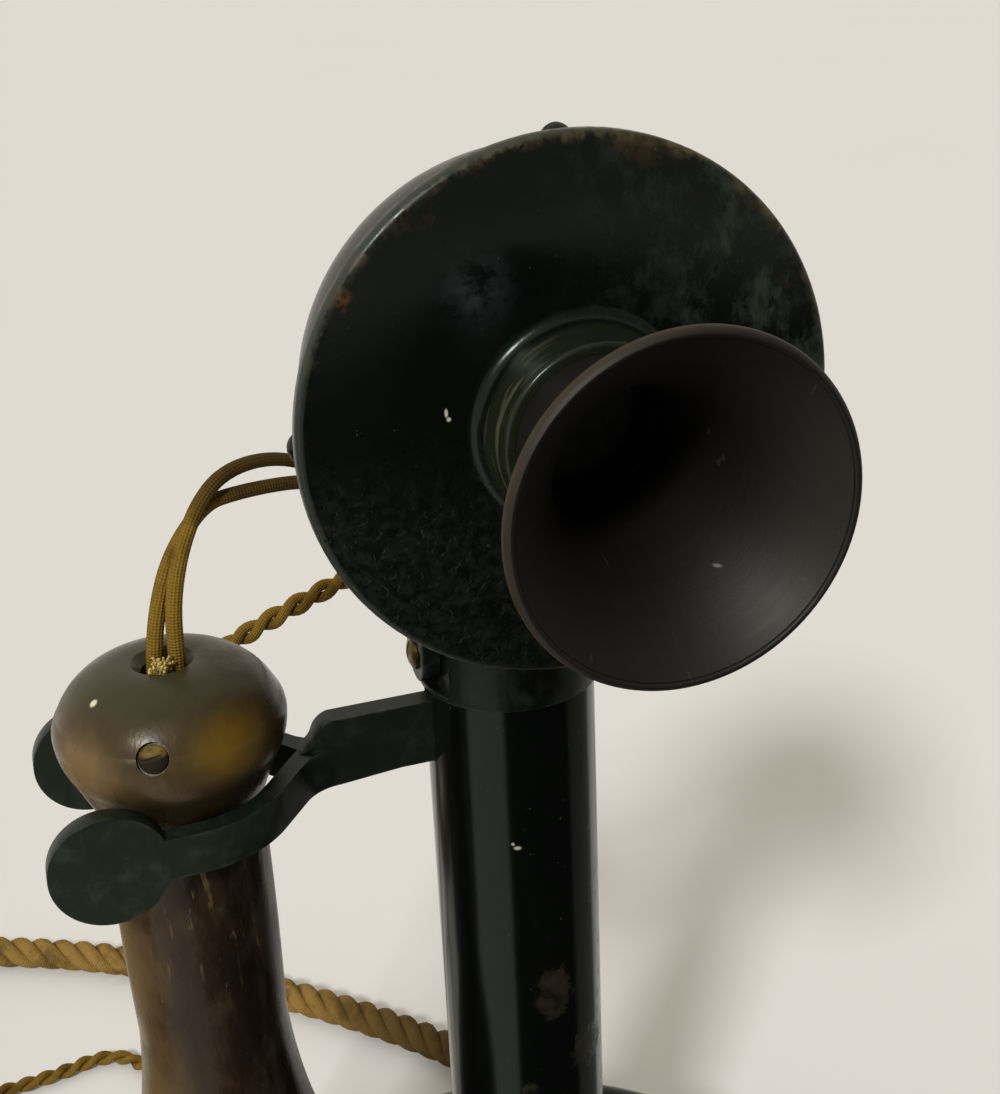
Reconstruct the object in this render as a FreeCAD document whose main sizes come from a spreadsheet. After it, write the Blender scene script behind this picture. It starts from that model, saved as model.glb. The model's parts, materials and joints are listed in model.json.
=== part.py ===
import FreeCAD
import Part
import Sketcher

import math
import os

from FreeCAD import Placement, Rotation, Vector

# Pedestal desk telephone, in millimetres.
# The origin lies on the table under the stem's axis. +Z is up, the transmitter faces -Y and the
# hook points to -X.

SIZES = {
    # Fits: room in a running or pushed fit, and between pieces that pass each other
    "fit": 0.05,
    "gap": 0.3,
    # Spun base: wall, bead at the foot, rounded edge and the hollow rise to the stem
    "base_radius": 67.0,
    "base_wall": 1.2,
    "rim_height": 0.8,
    "bead_height": 4.0,
    "bead_bow": 1.4,
    "base_edge": 32.0,
    "edge_round": 5.0,
    "boss_radius": 20.0,
    "boss_foot": 42.0,
    "boss_top": 49.0,
    "rise_bow": 4.0,
    # Underside: felt, plate, and the posts that its screws go into
    "felt_thickness": 2.0,
    "felt_inset": 3.0,
    "plate_thickness": 2.0,
    "post_circle": 50.0,
    "post_radius": 4.5,
    "base_screw_radius": 1.75,
    "base_screw_length": 11.0,
    "base_screw_head": 3.6,
    "base_screw_rise": 1.2,
    # Terminal block on the plate
    "block_length": 46.0,
    "block_width": 13.0,
    "block_height": 9.0,
    "block_setback": 32.0,
    "terminal_pitch": 11.0,
    "terminal_radius": 1.4,
    "terminal_head": 3.2,
    "terminal_rise": 1.6,
    "terminal_depth": 6.0,
    # Stem tube and its nut under the base
    "stem_radius": 14.3,
    "stem_wall": 1.4,
    "stem_foot": 27.0,
    "nut_height": 6.0,
    "nut_inset": 0.9,
    "nut_slot": 4.0,
    # The hook's pin over the table, and heights over it: stem, cap, tilt hinge, yoke and transmitter
    "hook_height": 171.5,
    "stem_top": 8.0,
    "cap_top": 19.8,
    "tilt_height": 14.1,
    "cheek_top": 32.5,
    "yoke_foot": 25.5,
    "yoke_top": 56.5,
    "yoke_screw_height": 49.5,
    "face_height": 63.5,
    # Depths under the hook's pin: spigot, tail and switch
    "spigot_depth": 9.0,
    "tail_foot": 23.5,
    "frame_foot": 83.5,
    "frame_top": 31.5,
    "spring_top": 17.5,
    # Cap on the stem, with flats for the yoke and a slotted spigot in the tube
    "cap_radius": 15.0,
    "cap_lip": 0.9,
    "cap_edge": 1.5,
    "cap_flat": 12.6,
    "spigot_wall": 3.0,
    # Tilt hinge of the transmitter
    "pivot_radius": 1.8,
    "pivot_depth": 6.0,
    "pivot_head": 2.7,
    "pivot_rise": 1.2,
    "pivot_play": 0.1,
    "cheek_thickness": 3.0,
    "cheek_round": 4.8,
    "yoke_shoulder": 12.7,
    "yoke_round": 4.7,
    "yoke_thickness": 3.0,
    "yoke_screw_spread": 8.0,
    "yoke_screw_radius": 1.5,
    "yoke_screw_head": 3.0,
    "yoke_screw_rise": 1.6,
    # Forked hook; the receiver hangs in the middle of its fork
    "hook_thick": 4.0,
    "hook_tall": 11.3,
    "hook_inner": 8.0,
    "hook_chamfer": 2.8,
    "hook_shoulder": 5.7,
    "shoulder_bow": 0.5,
    "hook_pivot": 4.0,
    "hook_pin_radius": 1.6,
    "hook_pin_inset": 1.4,
    "fork_reach": 56.0,
    "fork_gap": 15.2,
    "fork_root": 8.0,
    "prong_thick": 3.2,
    "prong_tall": 7.0,
    "prong_drop": 3.0,
    "paddle_reach": 13.0,
    "paddle_radius": 9.2,
    "tail_thick": 3.2,
    "stud_radius": 1.8,
    "stud_length": 1.5,
    # Switch in the stem; the springs start over the frame's ring
    "frame_ring": 4.0,
    "spring_foot": 3.0,
    "frame_half": 6.0,
    "frame_thick": 2.0,
    "wire_way": 4.8,
    "spring_thick": 0.5,
    "spring_half": 2.5,
    "spring_pitch": 1.4,
    "pile_height": 15.0,
    "pile_screw_radius": 0.9,
    "pile_screw_head": 1.6,
    "pile_screw_rise": 0.9,
    "pile_screw_spread": 4.0,
    # Cords and their bushes
    "line_radius": 4.5,
    "receiver_cord_radius": 2.2,
    "cord_fit": 0.15,
    "bush_barrel": 1.1,
    "bush_flange": 2.6,
    "bush_lip": 2.2,
    "bush_bow": 0.4,
    "bush_depth": 3.0,
    "line_bush_height": 12.4,
    "receiver_bush_height": 10.0,
    # Transmitter, along its axis from the back of the cup
    "cup_setback": 2.0,
    "cup_wall": 1.5,
    "cup_back": 22.0,
    "cup_shoulder": 18.0,
    "cup_bow": 3.4,
    "cup_inner_bow": 2.9,
    "cup_step": 1.6,
    "ledge_depth": 19.0,
    "ledge_width": 2.6,
    "face_radius": 38.0,
    "face_front": 33.2,
    "face_wall": 2.2,
    "face_bevel": 1.4,
    "face_rim": 2.2,
    "face_ledge": 1.3,
    "skirt_wall": 2.2,
    "skirt_depth": 7.0,
    "face_crown": 1.9,
    "crown_bow": 0.57,
    "boss_foot_radius": 16.0,
    "boss_fillet": 1.6,
    "boss_depth": 9.8,
    "boss_taper": 0.9,
    "boss_wall": 1.4,
    "boss_edge": 0.7,
    "grille_radius": 9.6,
    "mouth_seat": 4.0,
    "face_screw_radius": 1.2,
    "face_screw_head": 1.9,
    "face_screw_rise": 1.7,
    # Mouthpiece
    "neck_radius": 11.8,
    "neck_wall": 2.0,
    "neck_length": 10.5,
    "mouth_radius": 22.4,
    "mouth_length": 33.3,
    "mouth_lip": 2.4,
    "lip_swell": 0.5,
    "lip_edge": 0.7,
    "lip_inner": 0.6,
    "lip_drop": 0.5,
    "lip_bow": 0.2,
    "mouth_bow": 2.4,
    # Inside the transmitter
    "diaphragm_thickness": 0.6,
    "damper_thickness": 0.8,
    "gasket_thickness": 1.0,
    "gasket_width": 3.0,
    "damper_width": 5.0,
    "damper_length": 20.0,
    "bridge_thickness": 3.0,
    "bridge_half": 5.0,
    "button_radius": 9.0,
    "button_length": 5.2,
    "button_stud": 2.0,
    "button_tail": 7.0,
    "insulator_radius": 5.6,
    "insulator_thickness": 0.8,
    "clamp_nut_radius": 4.0,
    "clamp_nut_height": 2.6,
    # Receiver, measured from its seat on the hook
    "knob_radius": 18.25,
    "knob_equator": 9.4,
    "knob_foot": 3.9,
    "knob_foot_radius": 16.6,
    "knob_shoulder": 13.0,
    "knob_shoulder_radius": 17.3,
    "knob_top": 20.3,
    "knob_bow": 2.3,
    "knob_edge_bow": 0.35,
    "knob_under_bow": 0.35,
    "cord_hole": 3.5,
    "cord_dimple": 1.4,
    "neck_drop": 7.5,
    "neck_bow": 0.4,
    "waist_radius": 12.6,
    "waist_swell": 0.25,
    "waist_foot": 48.5,
    "flare_radius": 19.5,
    "flare_foot": 85.0,
    "flare_bow": 1.35,
    "bell_radius": 27.5,
    "bell_foot": 102.0,
    "bell_bow": 1.5,
    "shell_wall": 3.0,
    "shell_foot": 112.0,
    "thread_depth": 1.0,
    "cavity_top": 6.0,
    "ear_radius": 30.0,
    "ear_top": 103.0,
    "ear_foot": 122.0,
    "ear_round": 2.2,
    "ear_rim": 4.5,
    "ear_dish": 5.0,
    "ear_bow": 0.8,
    "ear_space": 1.2,
    "ear_web": 1.4,
    "ear_hole": 6.0,
    "ear_diaphragm": 0.5,
    "magnet_width": 5.0,
    "magnet_depth": 10.0,
    "magnet_space": 3.0,
    "magnet_room": 0.57,
    "magnet_foot": 98.0,
    "pole_length": 12.6,
    "coil_length": 8.0,
    "coil_wall": 3.0,
    "coil_rise": 0.9,
    "clamp_height": 18.0,
    "receiver_terminal_radius": 1.7,
    "receiver_terminal_spread": 7.4,
    "receiver_terminal_length": 5.0,
    "tail_screw_radius": 1.4,
    "tail_screw_head": 2.2,
    "tail_screw_rise": 1.3,
    "tail_screw_sink": 0.8,
    "tail_screw_length": 7.0,
    # Put-away coil of the line cord
    "coil_mid_radius": 45.0,
    "coil_room": 0.6,
    "ferrule_length": 16.0,
    "ferrule_wall": 0.4,
    "ferrule_nose": 0.9,
    "lead_radius": 1.1,
    "lead_length": 12.0,
    "lead_spread": 2.8,
    "tag_length": 11.0,
    "tag_width": 7.0,
    "tag_thickness": 0.8,
    "tag_spread": 3.5,
    "tag_room": 0.6,
    "tag_mouth": 3.2,
    "tag_slot": 5.5,
}

POST_ANGLES = (30, 150, 270)
TERMINAL_COUNT = 4
SPRING_COUNT = 3
FACE_SCREW_ANGLES = (0, 90, 180, 270)
DAMPER_ANGLES = (45, 225)
TAIL_SCREW_ANGLE = 255
TAIL_SCREW_TILT = 32
LINE_BUSH_ANGLE = 78
RECEIVER_BUSH_ANGLE = 149

# Each prong of the fork goes this far round the receiver's neck before it runs straight to the bar
FORK_WRAP = math.radians(52)

# Coil of the line cord: centre on the table, where its outer turn starts, and turns in a layer
COIL_CENTRE = (-190.0, 172.0)
COIL_START_ANGLE = 70
COIL_TURNS = 2
COIL_CLIMB = 0.5
COIL_STEPS_PER_TURN = 4
COIL_TANGENT_STEP = 0.01

# Points of a coil that are fewer diameters apart along it belong to the same bend
SAME_BEND = 3

# The receiver cord: out of the knob, over the cap behind the transmitter, down to the table and
# round to the back of the base
RECEIVER_ROUTE = [
    (-56.0, 0.0, 183.5), (-55.5, 0.0, 194.0), (-54.0, 0.4, 203.2), (-51.0, 1.8, 210.5),
    (-46.1, 4.4, 216.2), (-39.5, 7.9, 219.0), (-32.4, 11.6, 218.4), (-26.0, 14.9, 214.8),
    (-20.3, 17.0, 208.4), (-14.5, 16.0, 201.5), (-7.8, 13.5, 196.2), (0.2, 11.7, 194.0),
    (8.5, 12.5, 193.8), (15.3, 17.2, 193.3), (18.8, 24.7, 192.5), (18.0, 33.0, 191.4),
    (13.3, 39.8, 190.1), (5.8, 43.3, 188.6), (-2.5, 42.6, 186.8), (-11.0, 41.2, 184.3),
    (-19.5, 40.3, 181.5), (-31.5, 40.0, 177.2), (-43.0, 42.0, 171.0), (-50.0, 44.6, 162.5),
    (-53.4, 46.6, 151.0), (-54.6, 48.2, 135.0), (-55.2, 49.6, 112.0), (-55.6, 51.0, 86.0),
    (-56.0, 53.0, 60.0), (-56.5, 56.5, 36.0), (-57.2, 63.5, 17.5), (-58.4, 75.0, 6.4),
    (-60.0, 90.0, 2.5), (-61.8, 106.0, 2.3), (-63.6, 121.0, 2.3), (-66.4, 132.6, 2.3),
    (-71.8, 140.4, 2.3), (-79.8, 142.8, 2.3), (-88.8, 140.4, 2.3), (-98.5, 139.2, 2.3), (-109.0, 138.2, 2.3),
    (-118.0, 132.0, 2.3), (-120.5, 120.0, 2.3), (-118.0, 105.0, 2.3), (-111.0, 90.0, 2.3),
    (-101.5, 75.5, 2.3), (-91.0, 62.5, 2.4), (-81.0, 52.0, 4.3), (-72.5, 44.0, 8.6),
]

# The line cord: out of the back of the base, down to the table and away to the left
LINE_ROUTE = [
    (16.6, 78.0, 12.2), (18.2, 93.0, 8.4), (12.0, 108.5, 5.0), (-5.5, 128.5, 4.6), (-25.0, 147.0, 4.6),
    (-46.0, 164.5, 4.6), (-67.5, 180.0, 4.6), (-87.0, 190.8, 4.6), (-106.5, 199.7, 4.6),
    (-127.0, 207.9, 4.6), (-148.0, 215.5, 4.6),
]
FLOOR_ROOM = 0.1

# A cord's arcs take this share of the shorter of the two runs that they join
ARC_SHARE = 0.45
SAMPLE_STEP = 2.0

# A quarter circle swells by this share of its radius
QUARTER_BOW = 1 - math.sqrt(0.5)
TOUCH = 1e-6

# A cutting shape runs this far past the piece that it cuts
CLEAR = 1.0

# Screw heads: the slot's width by the head's radius, then shares of the head's rise
SLOT_WIDTH = 0.22
SLOT_DEPTH = 0.45
HEAD_SIDE = 0.35
HEAD_DOME = 0.16

doc = FreeCAD.newDocument("desk_telephone")
sheet = doc.addObject("Spreadsheet::Sheet", "Sizes")


class Length:
    """A size that carries its number and the sheet expression that it comes from."""

    def __init__(self, number, text):
        self.number = number
        self.text = text

    def __float__(self):
        return float(self.number)

    def __neg__(self):
        return Length(-self.number, f"(0 - {self.text})")

    def __abs__(self):
        return Length(abs(self.number), f"abs({self.text})")

    def __add__(self, other):
        return Length(self.number + float(other), f"({self.text} + {text_of(other)})")

    def __sub__(self, other):
        return Length(self.number - float(other), f"({self.text} - {text_of(other)})")

    def __mul__(self, other):
        return Length(self.number * float(other), f"({self.text} * {text_of(other)})")

    def __truediv__(self, other):
        return Length(self.number / float(other), f"({self.text} / {text_of(other)})")

    def __rsub__(self, other):
        return Length(float(other) - self.number, f"({text_of(other)} - {self.text})")

    __radd__ = __add__
    __rmul__ = __mul__


def text_of(size):
    return size.text if isinstance(size, Length) else repr(float(size))


def hypotenuse(across, up):
    """The longest side over two sizes that stand square to each other."""
    return Length(math.hypot(float(across), float(up)), f"sqrt({across.text} ^ 2 + {up.text} ^ 2)")


def smaller(first, second):
    """The smaller of two sizes."""
    return Length(min(float(first), float(second)), f"min({first.text}; {second.text})")


class Sizes:
    """Every size of the sheet by its name."""


for row, (alias, number) in enumerate(SIZES.items(), start=1):
    sheet.set(f"A{row}", alias)
    sheet.set(f"B{row}", str(number))
    sheet.setAlias(f"B{row}", alias)
    setattr(Sizes, alias, Length(number, f"Sizes.{alias}"))
S = Sizes
doc.recompute()


# Building blocks

def vector(point):
    return Vector(*(float(value) for value in point))


def place(item, at, rotation=Rotation()):
    """Sets an object's Placement and ties each coordinate that is a size to the sheet."""
    item.Placement = Placement(vector(at), rotation)
    for axis, value in zip("xyz", at):
        if isinstance(value, Length):
            item.setExpression(f"Placement.Base.{axis}", value.text)
    return item


def pointing(direction):
    """The rotation that turns +Z to a direction."""
    return Rotation(Vector(0, 0, 1), vector(direction))


def around(angle):
    """The level direction at an angle from +X."""
    return Vector(math.cos(math.radians(angle)), math.sin(math.radians(angle)), 0)


def bind(item, name, size):
    if isinstance(size, Length):
        item.setExpression(name, size.text)
    else:
        setattr(item, name, size)


def bow_radius(start, end, bow):
    """Radius of the arc that swells by bow between two corners."""
    across = end[0] - start[0]
    up = end[1] - start[1]
    return (across * across + up * up) / (abs(bow) * 8) + abs(bow) / 2


def drive(sketch, kind, places, size, name):
    index = sketch.addConstraint(Sketcher.Constraint(kind, *places, float(size)))
    if isinstance(size, Length):
        sketch.renameConstraint(index, name)
        sketch.setExpression(f"Constraints.{name}", size.text)


def outline(body, plane, corners, name):
    """Draws a closed outline, anticlockwise, on a plane of the body's own origin.

    A corner is (across, up) or (across, up, bow). The bow is how far the edge that leaves the corner
    swells: outwards where it is positive, and inwards where it is negative.
    """
    planes = {feature.Role: feature for feature in body.Origin.OriginFeatures}
    sketch = body.newObject("Sketcher::SketchObject", name)
    sketch.AttachmentSupport = [(planes[plane], "")]
    sketch.MapMode = "FlatFace"
    points = [Vector(float(corner[0]), float(corner[1]), 0) for corner in corners]
    ends = []
    for start, end, corner in zip(points, points[1:] + points[:1], corners):
        edge = Part.LineSegment(start, end)
        if len(corner) == 3:
            outward = Vector(end.y - start.y, start.x - end.x, 0).normalize()
            edge = Part.ArcOfCircle(start, (start + end) / 2 + outward * float(corner[2]), end)
        index = sketch.addGeometry(edge)
        forward = sketch.getPoint(index, 1).isEqual(start, TOUCH)
        ends.append((1, 2) if forward else (2, 1))
    for index, corner in enumerate(corners):
        following = (index + 1) % len(corners)
        sketch.addConstraint(
            Sketcher.Constraint("Coincident", index, ends[index][1], following, ends[following][0]))
        for kind, axis, size in (("DistanceX", -2, corner[0]), ("DistanceY", -1, corner[1])):
            if float(size) == 0:
                sketch.addConstraint(Sketcher.Constraint("PointOnObject", index, ends[index][0], axis))
            else:
                drive(sketch, kind, (-1, 1, index, ends[index][0]), size, f"{kind}{index}")
        if len(corner) == 3:
            radius = bow_radius(corner, corners[following], corner[2])
            drive(sketch, "Radius", (index,), radius, f"Radius{index}")
    return sketch


def turned(label, corners, at=(0, 0, 0), rotation=Rotation()):
    """A body turned about its own Z axis from an outline of (radius, height) corners."""
    body = doc.addObject("PartDesign::Body", label)
    sketch = outline(body, "XZ_Plane", corners, f"{label}_outline")
    spin = body.newObject("PartDesign::Revolution", f"{label}_turn")
    spin.Profile = sketch
    spin.ReferenceAxis = (sketch, ["V_Axis"])
    spin.Angle = 360
    return place(body, at, rotation)


def padded(label, plane, corners, thickness, at=(0, 0, 0), rotation=Rotation()):
    """A body of even thickness, half of it on each side of its outline's plane."""
    body = doc.addObject("PartDesign::Body", label)
    sketch = outline(body, plane, corners, f"{label}_outline")
    pad = body.newObject("PartDesign::Pad", f"{label}_pad")
    pad.Profile = sketch
    pad.SideType = "Symmetric"
    bind(pad, "Length", thickness)
    return place(body, at, rotation)


def bar(label, radius, length, at=(0, 0, 0), direction=(0, 0, 1)):
    item = doc.addObject("Part::Cylinder", label)
    bind(item, "Radius", radius)
    bind(item, "Height", length)
    return place(item, at, pointing(direction))


def block(label, size, at):
    """A box with its lowest corner at a point."""
    item = doc.addObject("Part::Box", label)
    for name, value in zip(("Length", "Width", "Height"), size):
        bind(item, name, value)
    return place(item, at)


def fuse(label, *items):
    item = doc.addObject("Part::MultiFuse", label)
    item.Shapes = list(items)
    return item


def cut(label, base, *tools):
    item = doc.addObject("Part::Cut", label)
    item.Base = base
    item.Tool = tools[0] if len(tools) == 1 else fuse(f"{label}_tools", *tools)
    return item


def common(label, first, second):
    item = doc.addObject("Part::Common", label)
    item.Base = first
    item.Tool = second
    return item


def group(label, items):
    item = doc.addObject("Part::Compound", label)
    item.Links = list(items)
    return item


def copies(label, one, placements):
    """Copies of one object at several placements, as separate solids."""
    doc.recompute()
    solids = []
    for placement in placements:
        solid = one.Shape.copy()
        solid.Placement = placement.multiply(solid.Placement)
        solids.append(solid)
    item = doc.addObject("Part::Feature", label)
    item.Shape = Part.makeCompound(solids)
    return item


def screws(label, placements, head, rise, shank, length):
    """Round-headed slotted screws; each placement is under the head, with +Z out of the head."""
    slot_width = head * SLOT_WIDTH
    slot_depth = rise * SLOT_DEPTH
    blank = turned(f"{label}_blank", [
        (0, -length), (shank, -length), (shank, 0), (head, 0), (head, rise * HEAD_SIDE, rise * HEAD_DOME),
        (0, rise),
    ])
    slot = block(f"{label}_slot", ((head + CLEAR) * 2, slot_width, slot_depth + CLEAR),
                 (-head - CLEAR, slot_width / -2, rise - slot_depth))
    return copies(label, cut(f"{label}_one", blank, slot), placements)


def drill(label, placements, radius, depth, above=CLEAR):
    """Holes from a little above each placement down its -Z to a depth."""
    bit = bar(f"{label}_bit", radius, depth + above, (0, 0, -depth))
    return copies(label, bit, placements)


# Base

SHELL_INSIDE = S.base_radius - S.base_wall
PLATE_RADIUS = SHELL_INSIDE - S.gap
PLATE_TOP = S.felt_thickness + S.plate_thickness
ROOF_EDGE = S.base_edge - S.base_wall
ROOF_BOSS = S.boss_foot - S.base_wall
EDGE_BOW = S.edge_round * QUARTER_BOW
INNER_EDGE_BOW = (S.edge_round - S.base_wall) * QUARTER_BOW


def bush_placement(angle, height):
    """On the outside of the base's wall, with +Z pointing out."""
    out = around(angle)
    return Placement(out * float(S.base_radius) + Vector(0, 0, float(height)), pointing(out))


LINE_BUSH = bush_placement(LINE_BUSH_ANGLE, S.line_bush_height)
RECEIVER_BUSH = bush_placement(RECEIVER_BUSH_ANGLE, S.receiver_bush_height)


def base_screw_places(height):
    spots = [around(angle) * float(S.post_circle) for angle in POST_ANGLES]
    up = Vector(0, 0, float(height))
    return [Placement(spot + up, Rotation(Vector(1, 0, 0), 180)) for spot in spots]


def make_base():
    shell = turned("base_shell_spun", [
        (S.base_radius, S.rim_height, S.bead_bow),
        (S.base_radius, S.rim_height + S.bead_height),
        (S.base_radius, S.base_edge - S.edge_round, EDGE_BOW),
        (S.base_radius - S.edge_round, S.base_edge, -S.rise_bow),
        (S.boss_radius, S.boss_foot),
        (S.boss_radius - S.base_wall, S.boss_top),
        (S.stem_radius + S.fit, S.boss_top),
        (S.stem_radius + S.fit, ROOF_BOSS),
        (S.boss_radius, ROOF_BOSS, S.rise_bow),
        (S.base_radius - S.edge_round, ROOF_EDGE, -INNER_EDGE_BOW),
        (SHELL_INSIDE, S.base_edge - S.edge_round),
        (SHELL_INSIDE, S.rim_height),
    ])
    inside = turned("base_inside", [
        (0, PLATE_TOP),
        (SHELL_INSIDE, PLATE_TOP),
        (SHELL_INSIDE, S.base_edge - S.edge_round, INNER_EDGE_BOW),
        (S.base_radius - S.edge_round, ROOF_EDGE, -S.rise_bow),
        (S.boss_radius, ROOF_BOSS),
        (0, ROOF_BOSS),
    ])
    line_hole = drill("line_bush_hole", [LINE_BUSH], S.line_radius + S.bush_barrel + S.fit,
                      S.base_wall + CLEAR)
    receiver_hole = drill("receiver_bush_hole", [RECEIVER_BUSH],
                          S.receiver_cord_radius + S.bush_barrel + S.fit, S.base_wall + CLEAR)
    cut("base_shell", shell, line_hole, receiver_hole)

    under_plate = base_screw_places(S.felt_thickness)
    plate = bar("base_plate_disc", PLATE_RADIUS, S.plate_thickness, (0, 0, S.felt_thickness))
    screw_holes = drill("base_screw_holes", under_plate, S.base_screw_radius + S.fit,
                        S.base_screw_length + S.gap)
    cut("base_plate", plate, screw_holes)
    felt = bar("felt_disc", PLATE_RADIUS - S.felt_inset, S.felt_thickness)
    head_holes = drill("felt_holes", under_plate, S.base_screw_head + S.gap, S.gap, S.felt_thickness + CLEAR)
    cut("felt_pad", felt, head_holes)
    screws("base_plate_screws", under_plate, S.base_screw_head, S.base_screw_rise,
           S.base_screw_radius, S.base_screw_length)
    pillars = [bar(f"base_pillar_{angle}", S.post_radius, ROOF_BOSS, around(angle) * float(S.post_circle))
               for angle in POST_ANGLES]
    posts = common("base_posts_blank", group("base_pillars", pillars), inside)
    cut("base_posts", posts, screw_holes)

    for name, placement, radius in (("line_cord_bush", LINE_BUSH, S.line_radius),
                                    ("receiver_cord_bush", RECEIVER_BUSH, S.receiver_cord_radius)):
        bore = radius + S.cord_fit
        barrel = radius + S.bush_barrel
        bush = turned(name, [
            (bore, -S.base_wall - S.bush_depth),
            (barrel, -S.base_wall - S.bush_depth),
            (barrel, 0),
            (radius + S.bush_flange, 0),
            (radius + S.bush_flange, S.bush_lip / 2, S.bush_bow),
            (barrel, S.bush_lip),
            (bore, S.bush_lip),
        ])
        bush.Placement = placement


def make_terminal_block():
    low = (S.block_length / -2, S.block_width / -2 - S.block_setback, PLATE_TOP)
    body = block("terminal_block_blank", (S.block_length, S.block_width, S.block_height), low)
    first = S.terminal_pitch * (-(TERMINAL_COUNT - 1) / 2)
    places = []
    for index in range(TERMINAL_COUNT):
        spot = (first + S.terminal_pitch * index, -S.block_setback, PLATE_TOP + S.block_height)
        places.append(Placement(vector(spot), Rotation()))
    holes = drill("terminal_holes", places, S.terminal_radius + S.fit, S.terminal_depth + S.gap)
    cut("terminal_block", body, holes)
    screws("terminal_screws", places, S.terminal_head, S.terminal_rise, S.terminal_radius, S.terminal_depth)


# Stem, cap and the switch inside

STEM_TOP = S.hook_height + S.stem_top
CAP_TOP = S.hook_height + S.cap_top
TILT_HEIGHT = S.hook_height + S.tilt_height
CHEEK_TOP = S.hook_height + S.cheek_top
YOKE_FOOT = S.hook_height + S.yoke_foot
YOKE_TOP = S.hook_height + S.yoke_top
YOKE_SCREW_HEIGHT = S.hook_height + S.yoke_screw_height
FACE_HEIGHT = S.hook_height + S.face_height
SPIGOT_FOOT = S.hook_height - S.spigot_depth
TAIL_FOOT = S.hook_height - S.tail_foot
FRAME_FOOT = S.hook_height - S.frame_foot
FRAME_TOP = S.hook_height - S.frame_top
SPRING_FOOT = FRAME_FOOT + S.frame_ring + S.spring_foot
SPRING_TOP = S.hook_height - S.spring_top
BORE_RADIUS = S.stem_radius - S.stem_wall
SPIGOT_RADIUS = BORE_RADIUS - S.fit
SLOT_HALF = S.hook_thick / 2 + S.gap
SLOT_FOOT = S.hook_height - S.hook_tall / 2 - S.gap


def make_stem():
    tube = turned("stem_tube_plain", [
        (BORE_RADIUS, S.stem_foot), (S.stem_radius, S.stem_foot), (S.stem_radius, STEM_TOP),
        (BORE_RADIUS, STEM_TOP),
    ])
    slot = block("stem_slot", (S.stem_radius * 2, SLOT_HALF * 2, STEM_TOP - SLOT_FOOT + CLEAR),
                 (S.stem_radius * -2, -SLOT_HALF, SLOT_FOOT))
    cut("stem_tube", tube, slot)

    nut_outer = S.boss_radius - S.nut_inset
    nut_foot = ROOF_BOSS - S.nut_height
    nut = turned("stem_nut_plain", [
        (S.stem_radius + S.fit, nut_foot), (nut_outer, nut_foot), (nut_outer, ROOF_BOSS),
        (S.stem_radius + S.fit, ROOF_BOSS),
    ])
    spanner = block("nut_spanner_slot", (S.boss_radius * 2, S.nut_slot, S.nut_height / 2),
                    (-S.boss_radius, S.nut_slot / -2, nut_foot))
    cut("stem_nut", nut, spanner)


def pivot_places():
    """Where each pivot screw's head meets its cheek, with +Z out of the head."""
    out = float(S.cap_flat + S.gap + S.cheek_thickness + S.pivot_play)
    height = float(TILT_HEIGHT)
    return [Placement(Vector(side * out, 0, height), pointing((side, 0, 0))) for side in (-1, 1)]


def make_cap():
    spigot_inside = SPIGOT_RADIUS - S.spigot_wall
    cap = turned("stem_cap_turned", [
        (spigot_inside, SPIGOT_FOOT),
        (SPIGOT_RADIUS, SPIGOT_FOOT),
        (SPIGOT_RADIUS, STEM_TOP),
        (S.cap_radius, STEM_TOP),
        (S.cap_radius, CAP_TOP - S.cap_edge, S.cap_edge * QUARTER_BOW),
        (S.cap_radius - S.cap_edge, CAP_TOP),
        (0, CAP_TOP),
        (0, STEM_TOP),
        (spigot_inside, STEM_TOP),
    ])
    flat_foot = STEM_TOP + S.cap_lip
    flats = []
    for name, low in (("left", -S.cap_flat - S.cap_radius), ("right", S.cap_flat)):
        flats.append(block(f"cap_flat_{name}",
                           (S.cap_radius, S.cap_radius * 2, CAP_TOP - flat_foot + CLEAR),
                           (low, -S.cap_radius, flat_foot)))
    slot = block("spigot_slot", (S.stem_radius * 2, SLOT_HALF * 2, STEM_TOP - SPIGOT_FOOT + CLEAR),
                 (-S.stem_radius, -SLOT_HALF, SPIGOT_FOOT - CLEAR))
    pin_hole = bar("hook_pin_hole", S.hook_pin_radius + S.fit, S.stem_radius * 2,
                   (S.hook_pivot, -S.stem_radius, S.hook_height), (0, 1, 0))
    shank = S.cheek_thickness + S.gap + S.pivot_play + S.pivot_depth
    pivot_holes = drill("pivot_holes", pivot_places(), S.pivot_radius + S.fit, shank + S.gap)
    cut("stem_cap", cap, *flats, slot, pin_hole, pivot_holes)
    pin_half = SPIGOT_RADIUS - S.hook_pin_inset
    bar("hook_pivot_pin", S.hook_pin_radius, pin_half * 2,
        (S.hook_pivot, -pin_half, S.hook_height), (0, 1, 0))
    screws("pivot_screws", pivot_places(), S.pivot_head, S.pivot_rise, S.pivot_radius, shank)


STUD_FACE = S.hook_pivot + S.tail_thick / 2 + S.stud_length
FIRST_SPRING = STUD_FACE + S.gap
FRAME_FACE = FIRST_SPRING - S.spring_pitch + S.spring_thick


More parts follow.
